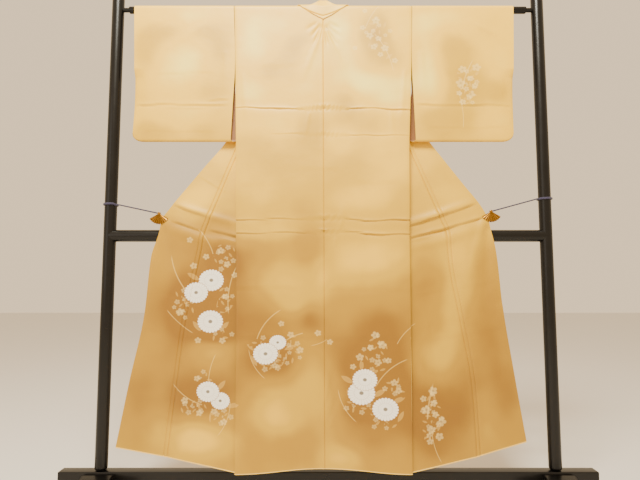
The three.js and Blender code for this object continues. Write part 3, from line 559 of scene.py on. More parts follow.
# %% Crease tables
BACK_CREASES = (
    (1271, 5.5, 3.2, -340, -150, 2.4, -0.01), (1270, 7.5, 3.2, -190, 20, 2.8, 0.016),
    (1272, 7.5, 3.2, -40, 140, 2.8, -0.012), (1267, 6.0, 3.6, 110, 300, 3.2, -0.022),
    (1177, 4.6, 3.2, -40, 120, 1.8, -0.02), (1176, 2.8, 3.6, 90, 290, 2.2, -0.02),
    (1180, 1.6, 4.5, -200, 0, 2.4, 0.0), (894, 7.5, 3.4, -45, 120, 2.4, -0.03),
    (888, 7.5, 3.6, 90, 285, 2.6, 0.012), (889, 4.5, 3.8, -325, -190, 2.2, 0.015),
    (893, 3.6, 4.0, -210, 10, 2.6, -0.01), (852, 6.0, 3.4, -45, 120, 2.2, -0.04),
    (843, 8.0, 3.6, 90, 285, 2.4, -0.02), (846, 4.5, 3.8, -325, -180, 2.4, 0.015),
    (848, 3.2, 4.2, -200, 10, 2.6, 0.0), (668, 2.6, 5.0, -320, -90, 2.6, 0.01),
    (664, 2.2, 5.5, -20, 280, 2.8, -0.01), (511, 3.0, 5.0, -310, 10, 2.6, -0.012),
    (508, 2.6, 5.2, -30, 280, 2.6, 0.01), (330, 1.2, 7.0, -285, -110, 3.0, 0.02),
    (1005, 1.2, 7.0, -300, -160, 3.0, -0.03), (1010, 1.3, 7.0, 60, 260, 3.2, 0.03),
    (1060, 1.0, 7.0, -120, 40, 3.0, 0.02), (1420, 0.9, 8.0, -240, -90, 3.0, 0.05),
    (760, 1.2, 7.0, -200, -30, 3.0, 0.03))
SLEEVE_CREASES = (
    (1284, 5.5, 4.0, -660, -325, 2.4, -0.004), (1283, 5.5, 4.0, 292, 630, 2.4, -0.006),
    (1300, 2.4, 4.5, -420, -325, 1.6, 0.14), (1272, 1.6, 5.0, -560, -380, 2.0, 0.02),
    (1395, 0.9, 8.0, -600, -380, 3.0, 0.03), (1192, 1.0, 7.0, -630, -360, 2.4, -0.01),
    (1205, 1.0, 7.0, 330, 600, 2.4, 0.01))
FRONT_CREASES = (
    (921, 8.0, 8.5, -520, -385, 1.5, -0.38), (868, 7.0, 7.5, -522, -396, 1.5, -0.32),
    (845, 12.0, 8.5, -400, -280, 1.2, -0.24), (818, 6.0, 7.5, -380, -280, 1.2, -0.2),
    (905, 10.0, 6.5, 240, 496, 1.5, 0.34), (862, 12.0, 6.5, 240, 520, 1.5, 0.28),
    (832, 1.8, 7.0, 262, 400, 1.2, 0.2), (1010, 1.4, 7.0, -440, -330, 1.2, -0.6),
    (508, 1.3, 6.0, -610, -290, 2.6, -0.2), (640, 1.0, 8.0, -580, -290, 3.0, -0.16),
    (300, 0.9, 8.0, -640, -290, 3.0, -0.14), (515, 1.8, 6.0, 258, 580, 2.6, 0.16),
    (665, 1.2, 7.0, 262, 550, 3.0, 0.18), (295, 0.9, 8.0, 258, 600, 3.0, 0.14))

# Folds that start at a point and fade out: place, direction in degrees from straight down, length, depth
# and width. They are the gathers under the neck and the long fold beside the centre seam.
BACK_PULLS = (
    (-22, 1574, -38, 66, -4.6, 3.2), (-19, 1572, -22, 92, -3.6, 3.4), (-17, 1570, -8, 60, -3.0, 3.0),
    (-13, 1570, 10, 90, -3.2, 3.4), (-10, 1572, 28, 96, -4.8, 3.2), (-7, 1575, 44, 84, -3.4, 3.4),
    (-32, 1580, -58, 60, -3.2, 3.4), (0, 1580, 60, 60, -3.2, 3.4), (-18, 1560, -20, 230, 1.4, 9),
    (-10, 1560, 22, 260, 1.5, 9), (-14, 300, 171, 190, 2.4, 10), (-8, 230, 160, 150, -1.6, 9),
    (-290, 1400, 6, 220, 1.3, 8), (262, 1410, -5, 240, 1.4, 8), (40, 860, 172, 110, 1.2, 8),
    (20, 835, 12, 150, 1.4, 8), (-60, 1262, -12, 120, 1.0, 8), (210, 1260, 6, 120, 1.0, 8))
FRONT_PULLS = (
    (530, 880, -4, 420, -5.0, 22), (516, 896, -18, 330, 3.4, 17), (560, 620, 6, 420, 2.4, 18),
    (-545, 880, 5, 380, -2.6, 22), (-536, 896, 20, 300, 2.2, 17), (330, 560, 4, 300, -1.6, 16),
    (-330, 700, -3, 320, 1.4, 16), (300, 470, -2, 260, 1.8, 12))
SLEEVE_PULLS = (
    (470, 1600, 58, 210, 1.7, 10), (520, 1560, 40, 190, -1.2, 10), (-400, 1600, -48, 170, 1.0, 11),
    (-520, 1590, -70, 130, -0.9, 10), (-350, 1480, 0, 200, 1.1, 9), (318, 1480, 3, 210, 1.3, 9))


# %% Reliefs
def soft(value, low, high):
    share = np.clip((value - low) / (high - low), 0, 1)
    return share * share * (3 - 2 * share)


def crease_relief(grid, creases):
    x, z = grid[..., 0], grid[..., 2]
    total = np.zeros_like(x)
    for centre, depth, width, start, end, wander, slope in creases:
        path = centre + slope * (x - (start + end) / 2)
        path = path + wander * (0.6 * np.sin(x / 41 + centre) + 0.4 * np.sin(x / 17 + 1.7 * centre))
        uneven = 0.75 + 0.25 * np.sin(x / 29 + 0.6 * centre)
        window = soft(x, start, start + 34) * (1 - soft(x, end - 34, end))
        across = (z - path) / width
        total += depth * uneven * window * np.tanh(across / 0.3) * np.exp(-np.abs(across) / 1.6) * 0.5
    return total


def pull_relief(grid, pulls):
    x, z = grid[..., 0], grid[..., 2]
    total = np.zeros_like(x)
    for centre_x, centre_z, turn, length, depth, width in pulls:
        way = math.radians(turn)
        along = (x - centre_x) * math.sin(way) - (z - centre_z) * math.cos(way)
        aside = (x - centre_x) * math.cos(way) + (z - centre_z) * math.sin(way)
        reach = np.clip(along / length, 0, 1)
        window = soft(along, 0, 14) * (1 - soft(along, length * 0.45, length))
        total += depth * window * np.exp(-(aside / (width * (0.5 + 1.1 * reach))) ** 2)
    return total


def sway(grid, phase, amount=1.1):
    """The slow uneven hang of the whole strip"""
    x, z = grid[..., 0], grid[..., 2]
    down = soft(ROD_Z - z, 30, 400)
    slow = np.sin(x / 63 + phase + 0.35 * np.sin(z / 170)) * np.sin(z / 240 + 0.7 * phase)
    return amount * down * (slow + 0.5 * np.sin(x / 31 + z / 400 + 2 * phase))


# %% [markdown]
# ## Dyeing and flowers
# A homongi is shaded in soft clouds, then painted with flowers that cross the seams. The clouds are one
# number at each point, worked out from a short table. A flower is a stamp: near it every face keeps its own
# place inside the flower, so a formula in the material can draw petals there and nowhere else.

# %% Soft clouds of colour
# Each row is one cloud: its middle across and up, how wide and how tall it is, and how much darker it is.
CLOUDS = (
    (-120, 610, 60, 34, -0.4), (-60, 570, 34, 40, 0.3), (-20, 700, 30, 90, -0.3),
    (60, 560, 60, 50, -0.35), (-150, 250, 80, 50, -0.4), (-60, 210, 40, 90, 0.2), (60, 150, 60, 40, -0.3),
    (-430, 200, 70, 60, -0.55), (-540, 260, 40, 90, -0.25), (400, 560, 40, 120, -0.3),
    (500, 300, 50, 140, -0.4), (230, 170, 60, 50, -0.2), (-265, 1540, 40, 60, -0.3),
    (-70, 1530, 60, 50, 0.35), (-210, 1400, 50, 60, 0.3), (60, 1330, 40, 60, 0.45),
    (200, 1300, 60, 30, -0.3), (-570, 1540, 60, 40, 0.3), (-450, 1600, 70, 30, -0.3),
    (420, 1500, 60, 60, 0.3), (580, 1330, 40, 60, 0.35), (370, 1340, 50, 50, -0.25),
    (-460, 610, 55, 75, 0.75), (-345, 760, 50, 55, 0.55), (-380, 600, 60, 60, 0.45),
    (-360, 510, 60, 26, 0.6), (-400, 320, 70, 45, 0.35), (-180, 450, 70, 45, 0.4),
    (150, 440, 60, 60, 0.55), (195, 345, 40, 45, 0.75), (110, 285, 70, 36, 0.55), (330, 250, 55, 80, 0.4),
    (170, 1550, 60, 70, 0.35), (470, 1350, 60, 80, 0.3), (-240, 1590, 70, 50, -0.05),
    (-150, 1570, 90, 50, -0.25), (-240, 1480, 70, 60, -0.35), (-120, 1460, 90, 90, 0.35),
    (-260, 1330, 60, 50, -0.4), (-160, 1330, 110, 40, -0.2), (-60, 1440, 50, 130, -0.45),
    (-30, 1350, 50, 70, 0.3), (40, 1560, 60, 60, -0.35), (60, 1460, 50, 120, -0.35),
    (170, 1500, 90, 110, 0.45), (130, 1360, 130, 50, -0.7), (240, 1560, 40, 70, -0.3),
    (-200, 1215, 120, 40, -0.25), (-60, 1200, 60, 60, 0.35), (40, 1160, 60, 60, -0.3),
    (140, 1220, 90, 40, 0.1), (-230, 1120, 100, 60, 0.1), (-110, 1100, 90, 90, -0.1),
    (70, 1060, 80, 70, 0.25), (200, 1080, 90, 120, -0.15), (-230, 960, 90, 80, -0.25),
    (-90, 960, 90, 80, 0.15), (110, 960, 110, 50, -0.35), (-180, 860, 120, 40, -0.45),
    (-60, 800, 60, 90, 0.35), (-230, 780, 80, 60, 0.3), (150, 770, 130, 80, -0.75),
    (40, 720, 60, 80, -0.2), (-110, 680, 110, 60, -0.55), (-250, 660, 60, 70, 0.2),
    (230, 660, 60, 80, 0.1), (80, 640, 90, 50, 0.15), (-180, 560, 130, 60, 0.35), (-30, 560, 60, 60, 0.1),
    (130, 560, 130, 60, 0.6), (200, 450, 110, 90, 0.65), (60, 430, 80, 90, 0.45),
    (-180, 440, 110, 70, 0.5), (-70, 440, 60, 80, -0.25), (-20, 330, 90, 110, -0.55),
    (-190, 310, 100, 80, -0.45), (150, 320, 130, 90, 0.65), (40, 230, 70, 90, 0.1),
    (-120, 180, 120, 60, 0.15), (-240, 200, 70, 60, 0.25), (150, 190, 120, 60, 0.5),
    (30, 140, 70, 40, -0.35), (-600, 1590, 90, 50, -0.2), (-480, 1560, 120, 60, 0.2),
    (-620, 1460, 50, 120, 0.45), (-500, 1430, 110, 90, -0.5), (-380, 1480, 60, 90, 0.35),
    (-400, 1330, 90, 40, 0.25), (-520, 1240, 130, 40, -0.35), (-610, 1190, 60, 50, 0.3),
    (-400, 1210, 90, 50, 0.15), (380, 1590, 90, 50, -0.35), (560, 1560, 80, 70, 0.1),
    (470, 1380, 90, 130, 0.45), (340, 1420, 50, 120, -0.5), (580, 1420, 60, 110, -0.25),
    (340, 1220, 70, 60, 0.15), (560, 1230, 90, 70, -0.25), (450, 1230, 70, 60, 0.2),
    (-440, 960, 90, 60, -0.45), (-350, 880, 60, 60, 0.5), (-500, 830, 60, 70, 0.35),
    (-420, 800, 70, 60, 0.25), (-330, 760, 60, 60, 0.55), (-400, 660, 110, 110, 0.75),
    (-470, 570, 60, 80, 0.75), (-340, 560, 70, 60, 0.6), (-560, 640, 50, 130, 0.25),
    (-360, 470, 80, 50, -0.35), (-520, 440, 90, 90, 0.1), (-620, 330, 60, 110, 0.35),
    (-380, 330, 110, 90, 0.6), (-500, 290, 80, 60, 0.3), (-360, 190, 110, 50, -0.55),
    (-560, 170, 120, 50, 0.05), (-340, 1080, 60, 90, -0.15), (400, 960, 80, 70, -0.2),
    (300, 800, 60, 60, 0.1), (320, 680, 70, 60, 0.45), (430, 760, 60, 120, -0.45),
    (520, 640, 60, 160, 0.45), (340, 430, 90, 80, -0.65), (430, 560, 60, 90, -0.1),
    (470, 420, 70, 120, 0.3), (330, 270, 110, 110, 0.6), (440, 300, 70, 100, 0.35),
    (560, 320, 60, 130, 0.45), (560, 200, 90, 60, -0.05), (360, 160, 110, 50, 0.35))


# The cloth starts pale at the shoulders, darkens on the way down and is a little paler again at the hem
PALE_START = 0.45
DARKER_DOWN = 0.95
PALER_HEM = 0.2


def shade_at(points):
    """How dark the clouds are at each point: below 0 is cream and above 0 is brown"""
    x, z = points[:, 0], points[:, 2]
    total = DARKER_DOWN * soft(1500 - z, 0, 1100) - PALER_HEM * soft(420 - z, 0, 300) - PALE_START
    for cloud_x, cloud_z, wide, tall, shade in CLOUDS:
        far = ((x - cloud_x) / wide) ** 2 + ((z - cloud_z) / tall) ** 2
        total = total + shade * np.exp(-far)
    return total


# %% Where the flowers are
# Each stamp is a place across and up, a radius and a turn in degrees. The sprays are clusters of small
# blossoms and leaves: each row is a middle, how wide and tall the cluster spreads, and how many it holds.
SPRAYS = (
    (-470, 620, 34, 55, 16), (-340, 770, 38, 45, 12), (-330, 640, 24, 40, 7), (-345, 520, 40, 22, 7),
    (-425, 290, 45, 26, 12), (-335, 268, 34, 24, 9), (-395, 385, 26, 18, 4), (-130, 450, 48, 20, 11),
    (-180, 425, 34, 16, 7), (-110, 500, 26, 18, 4), (-215, 500, 22, 18, 3), (150, 460, 42, 60, 15),
    (95, 300, 46, 26, 12), (205, 360, 32, 30, 7), (170, 245, 40, 18, 7), (325, 265, 32, 75, 20),
    (170, 1540, 46, 60, 14), (478, 1350, 34, 66, 18))


def spray(middle_x, middle_z, wide, tall, count):
    """Small stamps spread evenly over an oval, each a little nearer or farther than its neighbour"""
    order = np.arange(count)
    far = np.sqrt((order + 0.5) / count)
    turn = 2.399963 * order + middle_x
    size = 7.5 + 3.0 * np.abs(np.sin(1.7 * order + middle_z))
    x = middle_x + wide * far * np.cos(turn)
    z = middle_z + tall * far * np.sin(turn)
    return list(zip(x, z, size, 47.0 * order % 360))


FLOWER_TALL = 0.85
BLOSSOM_TALL = 0.9
LARGE_FLOWERS = (
    (-381, 693, 41, 0), (-430, 653, 39, 20), (-381, 560, 42, 8), (-383, 340, 37, 0), (-342, 313, 31, 15),
    (-199, 461, 39, 5), (-161, 496, 27, 0), (115, 380, 39, 10), (104, 339, 43, 0), (178, 291, 41, 25))
BLOSSOMS = (
    (129, 1621, 10, 0), (166, 1585, 15, 20), (145, 1531, 14, 50), (196, 1485, 15, 10),
    (180, 1462, 11, 60), (229, 1440, 12, 35), (93, 1485, 10, 0), (120, 1560, 11, 40), (174, 1520, 12, 15),
    (158, 1490, 13, 30), (459, 1409, 16, 0), (507, 1416, 17, 30), (451, 1360, 18, 15),
    (484, 1321, 17, 50), (456, 1293, 13, 5), (486, 1376, 13, 40), (470, 1340, 11, 65),
    (500, 1352, 12, 20), (445, 1325, 11, 35), (332, 343, 16, 0), (309, 286, 17, 25), (356, 249, 18, 45),
    (324, 224, 16, 10), (349, 203, 15, 60), (333, 305, 13, 35), (338, 270, 12, 50), (318, 190, 12, 15),
    (300, 320, 12, 5), (149, 519, 14, 0), (171, 488, 15, 30), (100, 450, 14, 15), (157, 434, 13, 45),
    (207, 372, 13, 20), (220, 348, 12, 55), (134, 480, 12, 60), (190, 440, 11, 5), (78, 420, 11, 40),
    (150, 300, 11, 12), (-481, 590, 15, 10), (-454, 825, 12, 30), (-304, 710, 12, 0), (-330, 745, 13, 45),
    (-352, 790, 13, 20), (-400, 770, 12, 60), (-440, 740, 13, 5), (-332, 640, 12, 40),
    (-420, 500, 12, 15), (-340, 500, 12, 50), (-458, 311, 13, 0), (-409, 274, 12, 30),
    (-362, 280, 11, 55), (-329, 249, 12, 20), (-420, 380, 11, 40), (-90, 472, 13, 10),
    (-210, 434, 10, 45), (-169, 424, 11, 20), (-120, 520, 12, 60), (-150, 555, 11, 5), (5, 497, 11, 30),
    (-33, 525, 12, 0))
LEAVES = (
    (-330, 600, 26, 60), (-350, 625, 24, 30), (-455, 600, 26, -50), (-470, 625, 22, -75),
    (-440, 705, 24, -60), (-425, 545, 22, -40), (-335, 545, 22, 45), (-420, 300, 24, -55),
    (-340, 360, 22, 40), (-300, 300, 22, 75), (-370, 265, 20, 10), (-240, 480, 22, -60),
    (-235, 440, 20, -30), (-120, 480, 22, 70), (-150, 430, 20, 40), (60, 380, 24, -60),
    (70, 330, 24, -30), (150, 410, 22, 50), (160, 340, 24, 60), (220, 320, 22, 70), (130, 290, 22, -20),
    (225, 270, 20, 30), (105, 425, 20, 0), (452, 1385, 20, -40), (476, 1300, 20, 30), (500, 1390, 18, 60),
    (160, 1555, 18, 40), (185, 1505, 16, -30), (210, 1455, 16, 50), (330, 330, 18, -35),
    (345, 230, 20, 30), (315, 255, 18, -50), (310, 210, 18, 40))
# A stem also bends: its last number is how far its middle stands off a straight line, in radii
STEMS = (
    (-345, 740, 80, 20, 0.2), (-400, 800, 70, -25, -0.2), (-310, 660, 80, 8, 0.15),
    (-470, 700, 90, -30, 0.2), (-480, 560, 60, -50, 0.1), (-440, 330, 70, -60, 0.2),
    (-330, 260, 60, 20, -0.2), (-370, 400, 60, 10, 0.15), (-190, 540, 75, 35, 0.25),
    (-110, 500, 70, 65, 0.2), (-15, 510, 50, 60, -0.2), (-225, 430, 55, -30, 0.2),
    (110, 470, 90, 15, 0.2), (155, 490, 85, 25, -0.2), (245, 510, 60, 40, 0.2), (200, 400, 70, 50, 0.2),
    (60, 300, 60, -30, 0.2), (235, 250, 60, 60, -0.2), (150, 1560, 90, 20, 0.2),
    (190, 1470, 80, -25, -0.15), (475, 1360, 90, 15, 0.15), (450, 1260, 60, -5, -0.1),
    (325, 260, 110, 5, 0.12), (340, 180, 60, -15, 0.15))


# The lining turns from cream to gold below this height, and inside the sleeves it is painted dark brown as
# the shade within them
GILDED_BELOW = 780
GILDED_FADE = 160
# A place this far from every stamp, in radii
NOWHERE = 9.0


def stamp_map(mesh, name, corners, centres, facing, stamps, tall=1.0):
    """A map that is far away everywhere but inside each stamp, where it runs from -1 to 1"""
    places = np.full((len(corners), 2), NOWHERE)
    per_face = len(corners) // len(centres)
    for stamp in stamps:
        x, z, radius, turn = stamp[:4]
        bend = stamp[4] if len(stamp) > 4 else 0
        near = facing & (np.hypot(centres[:, 0] - x, centres[:, 2] - z) < radius * 1.3 + 4)
        picked = np.repeat(near, per_face)
        way = math.radians(turn)
        right = (corners[picked, 0] - x) / radius
        up = (corners[picked, 2] - z) / (radius * tall)
        u = right * math.cos(way) - up * math.sin(way)
        v = right * math.sin(way) + up * math.cos(way)
        places[picked] = np.stack([u + bend * (1 - v * v), v], axis=1)
    layer = mesh.uv_layers.new(name=name)
    layer.data.foreach_set("uv", places.astype(np.float32).ravel())


def dye(piece):
    """Give a piece its clouds, and its flowers where its outer face looks to the back"""
    mesh = piece.data
    points = np.empty(len(mesh.vertices) * 3)
    mesh.vertices.foreach_get("co", points)
    points = points.reshape(-1, 3) / MM
    shade = mesh.attributes.new("shade", "FLOAT", "POINT")
    shade.data.foreach_set("value", shade_at(points).astype(np.float32))
    # Sleeves get the full amount, which paints their lining dark brown as the shade inside them
    if piece.name.startswith("sleeve"):
        warmth = np.ones(len(points))
    else:
        warmth = 0.5 * soft(GILDED_BELOW - points[:, 2], 0, GILDED_FADE)
    gilt_and_shade = mesh.attributes.new("gilt_and_shade", "FLOAT", "POINT")
    gilt_and_shade.data.foreach_set("value", warmth.astype(np.float32))
    index = np.empty(len(mesh.loops), dtype=np.int64)
    mesh.loops.foreach_get("vertex_index", index)
    corners = points[index]
    centres = corners.reshape(-1, 4, 3).mean(axis=1)
    normals = np.empty(len(mesh.polygons) * 3)
    mesh.polygons.foreach_get("normal", normals)
    kinds = np.empty(len(mesh.polygons), dtype=np.int32)
    mesh.polygons.foreach_get("material_index", kinds)
    shown = (kinds == 0) & (normals.reshape(-1, 3)[:, 1] < -0.2)
    flowers_a, flowers_b = LARGE_FLOWERS[::2], LARGE_FLOWERS[1::2]
    small = [stamp for row in SPRAYS for stamp in spray(*row)]
    layers = (
        ("large_a", flowers_a, FLOWER_TALL), ("large_b", flowers_b, FLOWER_TALL),
        ("blossom", BLOSSOMS, BLOSSOM_TALL), ("small", small[::2], BLOSSOM_TALL),
        ("leaf", LEAVES + tuple(small[1::2]), 1.0), ("stem", STEMS, 1.0))
    for name, stamps, tall in layers:
        stamp_map(mesh, name, corners, centres, shown, stamps, tall)


# %% [markdown]
# ## Silk
# The silk is a satin crepe: a soft gloss with a very fine grain. Its colour runs from cream through gold to a
# brown orange by the number that each point carries. The petals, leaves and stems are drawn by formula.

# %% Silk colours
CLOUD_COLOURS = (
    (0.00, (255, 230, 100)), (0.30, (244, 194, 34)), (0.50, (212, 166, 10)), (0.70, (182, 136, 4)),
    (1.00, (144, 98, 0)))
PETAL = colour(250, 244, 228)
PETAL_LINE = colour(190, 176, 152)
PETAL_RIM = colour(166, 116, 50)
FLOWER_CENTRE = colour(128, 116, 96)
BLOSSOM_COLOUR = colour(250, 222, 140)
LEAF_COLOUR = colour(242, 194, 86)
STEM_COLOUR = colour(250, 212, 116)


# %% Flower formulas
def polar(tree, layer):
    place = add_node(tree, "ShaderNodeUVMap", uv_map=layer).outputs["UV"]
    split = add_node(tree, "ShaderNodeSeparateXYZ", {"Vector": place})
    across, up = split.outputs["X"], split.outputs["Y"]
    radius = add_node(tree, "ShaderNodeVectorMath", {0: place}, operation="LENGTH").outputs["Value"]
    return across, up, radius, calc(tree, "ARCTAN2", up, across)


def between_petals(tree, angle, petals, start=0.0):
    """0 on the line between two petals and 1 on a petal's middle"""
    half_turns = calc(tree, "MULTIPLY_ADD", angle, petals / 2, start)
    return calc(tree, "ABSOLUTE", calc(tree, "SINE", half_turns))


def large_flower(tree, under, layer):
    """A round chrysanthemum: a toothed rim in a thin brown line, faint petal lines and a small grey centre"""
    _, _, radius, angle = polar(tree, layer)
    outer = between_petals(tree, angle, 24)
    rim = calc(tree, "MULTIPLY_ADD", calc(tree, "POWER", outer, 0.6), 0.11, 0.89)
    past = calc(tree, "SUBTRACT", radius, rim)
    outline = calc(tree, "MULTIPLY", ramp(tree, past, 0.075, 0.025), 0.75)
    inside = ramp(tree, past, 0.02, -0.015)
    groove = calc(tree, "MULTIPLY", ramp(tree, outer, 0.34, 0.05), ramp(tree, radius, 0.15, 0.45))
    ring = ramp(tree, calc(tree, "ABSOLUTE", calc(tree, "SUBTRACT", radius, 0.55)), 0.05, 0.0)
    line = calc(tree, "MAXIMUM", calc(tree, "MULTIPLY", groove, 0.55), calc(tree, "MULTIPLY", ring, 0.35))
    face = blend_colour(tree, line, PETAL, PETAL_LINE)
    face = blend_colour(tree, ramp(tree, radius, 0.2, 0.12), face, FLOWER_CENTRE)
    return blend_colour(tree, inside, blend_colour(tree, outline, under, PETAL_RIM), face)


def blossom(tree, under, layer="blossom", strength=0.42):
    """Five round petals, painted thinly"""
    _, _, radius, angle = polar(tree, layer)
    rim = calc(tree, "MULTIPLY_ADD", calc(tree, "POWER", between_petals(tree, angle, 5), 0.6), 0.45, 0.5)
    inside = ramp(tree, calc(tree, "SUBTRACT", rim, radius), -0.1, 0.15)
    heart = ramp(tree, radius, 0.34, 0.1)
    face = blend_colour(tree, calc(tree, "MULTIPLY", heart, 0.6), BLOSSOM_COLOUR, FLOWER_CENTRE)
    return blend_colour(tree, calc(tree, "MULTIPLY", inside, strength), under, face)


def leaf(tree, under):
    """A pointed leaf along its stamp's upright, with a darker midrib"""
    across, up, _, _ = polar(tree, "leaf")
    far = calc(tree, "ABSOLUTE", across)
    rim = calc(tree, "MULTIPLY", calc(tree, "SUBTRACT", 1.0, calc(tree, "MULTIPLY", up, up)), 0.36)
    inside = ramp(tree, calc(tree, "SUBTRACT", rim, far), 0.0, 0.06)
    rib = calc(tree, "MULTIPLY", ramp(tree, far, 0.06, 0.02), 0.5)
    face = blend_colour(tree, rib, LEAF_COLOUR, colour(214, 176, 104))
    return blend_colour(tree, calc(tree, "MULTIPLY", inside, 0.34), under, face)


def stem(tree, under):
    """A thin painted line that fades at both ends"""
    across, up, _, _ = polar(tree, "stem")
    thin = ramp(tree, calc(tree, "ABSOLUTE", across), 0.03, 0.01)
    fade = ramp(tree, calc(tree, "ABSOLUTE", up), 1.0, 0.8)
    strength = calc(tree, "MULTIPLY", calc(tree, "MULTIPLY", thin, fade), 0.42)
    return blend_colour(tree, strength, under, STEM_COLOUR)


# %% Silk outside
silk_material, tree, shader = new_material("silk", Roughness=0.47, Sheen_Weight=0.25, Sheen_Roughness=0.4)
silk_material.diffuse_color = colour(226, 185, 104)
shade = add_node(tree, "ShaderNodeAttribute", attribute_name="shade").outputs["Fac"]
drift = calc(tree, "MULTIPLY_ADD", noise(tree, 7.0), 0.3, -0.15)
tone = calc(tree, "ADD", calc(tree, "MULTIPLY_ADD", shade, 0.44, 0.5), drift, clamp=True)
clouds = add_node(tree, "ShaderNodeValToRGB", {"Fac": tone})
clouds.color_ramp.interpolation = "EASE"
stops = clouds.color_ramp.elements
stops.remove(stops[-1])
stops[0].color = colour(*CLOUD_COLOURS[0][1])
for spot, values in CLOUD_COLOURS[1:]:
    stops.new(spot).color = colour(*values)
cloth = stem(tree, clouds.outputs["Color"])
cloth = leaf(tree, cloth)
cloth = blossom(tree, cloth, "small", 0.32)
cloth = blossom(tree, cloth)
cloth = large_flower(tree, cloth, "large_a")
cloth = large_flower(tree, cloth, "large_b")
tree.links.new(cloth, shader.inputs["Base Color"])
grain = calc(tree, "MULTIPLY_ADD", noise(tree, 24.0, 3.0), 4.0, noise(tree, 520.0, 4.0))
roughen(tree, shader, grain, 0.35, 0.0006)

# %% Silk lining
lining_material, tree, shader = new_material("lining", Roughness=0.5, Sheen_Weight=0.2)
lining_material.diffuse_color = colour(244, 230, 190)
gilt_and_shade = add_node(tree, "ShaderNodeAttribute", attribute_name="gilt_and_shade").outputs["Fac"]
plain = blend_colour(tree, noise(tree, 5.0), colour(247, 238, 212), colour(240, 222, 176))
gilded = blend_colour(tree, ramp(tree, gilt_and_shade, 0.0, 0.5), plain, colour(248, 206, 96))
# At the full amount, inside the sleeves, the lining is painted dark brown as shade
lined = blend_colour(tree, ramp(tree, gilt_and_shade, 0.5, 1.0), gilded, colour(136, 84, 22))
tree.links.new(lined, shader.inputs["Base Color"])
roughen(tree, shader, noise(tree, 600.0, 3.0), 0.3, 0.0005)

# %% [markdown]
# ## Body panels
# One length of cloth goes from the back hem over the shoulder to the front hem. The back and the front half
# are two walls in one piece that meet on top of the rod. The seams are shallow troughs with a pressed ledge
# beside them, as a hand sewn seam has.


# %% Seams
# Depth and width of each trough, where a negative depth stands up, and how far from its seam it lies
CENTRE_SEAM = (3.0, 1.1)
SIDE_SEAM = (1.2, 3.0)
CENTRE_LEDGE, CENTRE_LEDGE_AT = (-0.6, 5.0), 6
FRONT_SEAM = (2.6, 1.6)
FRONT_LEDGE, FRONT_LEDGE_AT = (-0.5, 4), 7
LAP_SEAM = (2.4, 1.4)
LAP_LEDGE, LAP_LEDGE_AT = (-0.6, 4), 6
LAP_FOLD, LAP_FOLD_AT = (2.2, 1.6), 12


def trough(distance, depth, width):
    return -depth * np.exp(-(distance / width) ** 2)


def back_relief(grid, sign):
    """How far the back stands out from its smooth shape"""
    centre = follow(BACK_WIDTH, grid[..., 2], "centre")
    edge = follow(BACK_WIDTH, grid[..., 2], "left" if sign < 0 else "right")
    from_centre = np.abs(grid[..., 0] - centre)
    from_side = np.abs(grid[..., 0] - edge)
    seams = trough(from_centre, *CENTRE_SEAM) + trough(from_side, *SIDE_SEAM)
    if sign < 0:
        seams += trough(from_centre - CENTRE_LEDGE_AT, *CENTRE_LEDGE)
    return seams + crease_relief(grid, BACK_CREASES) + pull_relief(grid, BACK_PULLS) + sway(grid, 0.4)


def displaced(grid, outside, relief):
    """The grid moved outwards by its relief"""
    return grid + grid_normals(grid) * outside * relief[..., None]


# %% Body, one side at a time
def body_walls(side):
    """The walls of one back, one front and one overlap"""
    outside = side["inward"]
    back = back_grid(-outside)
    back = displaced(back, outside, back_relief(back, -outside))
    front, overlap = front_grids(side)
    relief = np.zeros(front.shape[:2])
    # The strip behind the back takes the back's folds, and faces the other way
    relief[:, :FIRST_LEG] = -crease_relief(front[:, :FIRST_LEG], BACK_CREASES)
    outer = front[:, FIRST_LEG:]
    from_seam = np.linalg.norm(outer - outer[:, -1:], axis=2)
    seam = trough(from_seam, *FRONT_SEAM) + trough(from_seam - FRONT_LEDGE_AT, *FRONT_LEDGE)
    folds = crease_relief(outer, FRONT_CREASES) + pull_relief(outer, FRONT_PULLS)
    relief[:, FIRST_LEG:] = seam + folds + sway(outer, 1.9, 0.8)
    # No folds where the cloth lies on the rod
    fade = soft(ROD_Z - 60 - front[..., 2], 0, 60)
    front = displaced(front, outside, relief * fade)
    from_seam = np.linalg.norm(overlap - overlap[:, :1], axis=2)
    seam = trough(from_seam, *LAP_SEAM) + trough(from_seam - LAP_FOLD_AT, *LAP_FOLD)
    seam += trough(from_seam - LAP_LEDGE_AT, *LAP_LEDGE)
    folds = crease_relief(overlap, FRONT_CREASES) + pull_relief(overlap, FRONT_PULLS)
    fade = soft(OVERLAP_TOP_Z - overlap[..., 2] + 20, 0, 90)
    overlap = displaced(overlap, outside, (seam + folds + sway(overlap, 3.1, 0.8)) * fade)
    return [wall(grid, outside, hemmed=True) for grid in (back, front, overlap)]


def add_cloth(name, walls, *nodes):
    """One dyed and lined piece made of its walls"""
    points, faces, kinds = several(walls)
    piece = new_piece(name, points, faces.tolist(), [silk_material, lining_material], kinds, sharp=60)
    dye(piece)
    stands_for(piece, *nodes)
    print(name, len(points), "points")
    return piece


for side in (LEFT, RIGHT):
    edge = side["edge"]
    back_wall, front_wall, overlap_wall = body_walls(side)
    body = add_cloth(f"body_{edge}", [back_wall, front_wall], f"back_{edge}", f"front_{edge}")
    lap = add_cloth(f"overlap_{edge}_silk", [overlap_wall], f"overlap_{edge}")

# %% [markdown]
# ## Collar
# The collar is one band from clip height on one side, over both shoulders and round the neck, to the other.
# Its crease lies on the rod, and behind the neck the band stands up a little and leans inward.

# %% Collar sections
COLLAR_WIDTH = 55.0
COLLAR_WALL = 2.4
COLLAR_OFFSET = 2.9
COLLAR_END_Z = 850.0
CREASE_TURN = 80.0
STAND_FOOT = 2.0
STAND_HEIGHT = 31.0
STAND_LEAN = 24.0
SHOULDER_BAND = 30.0


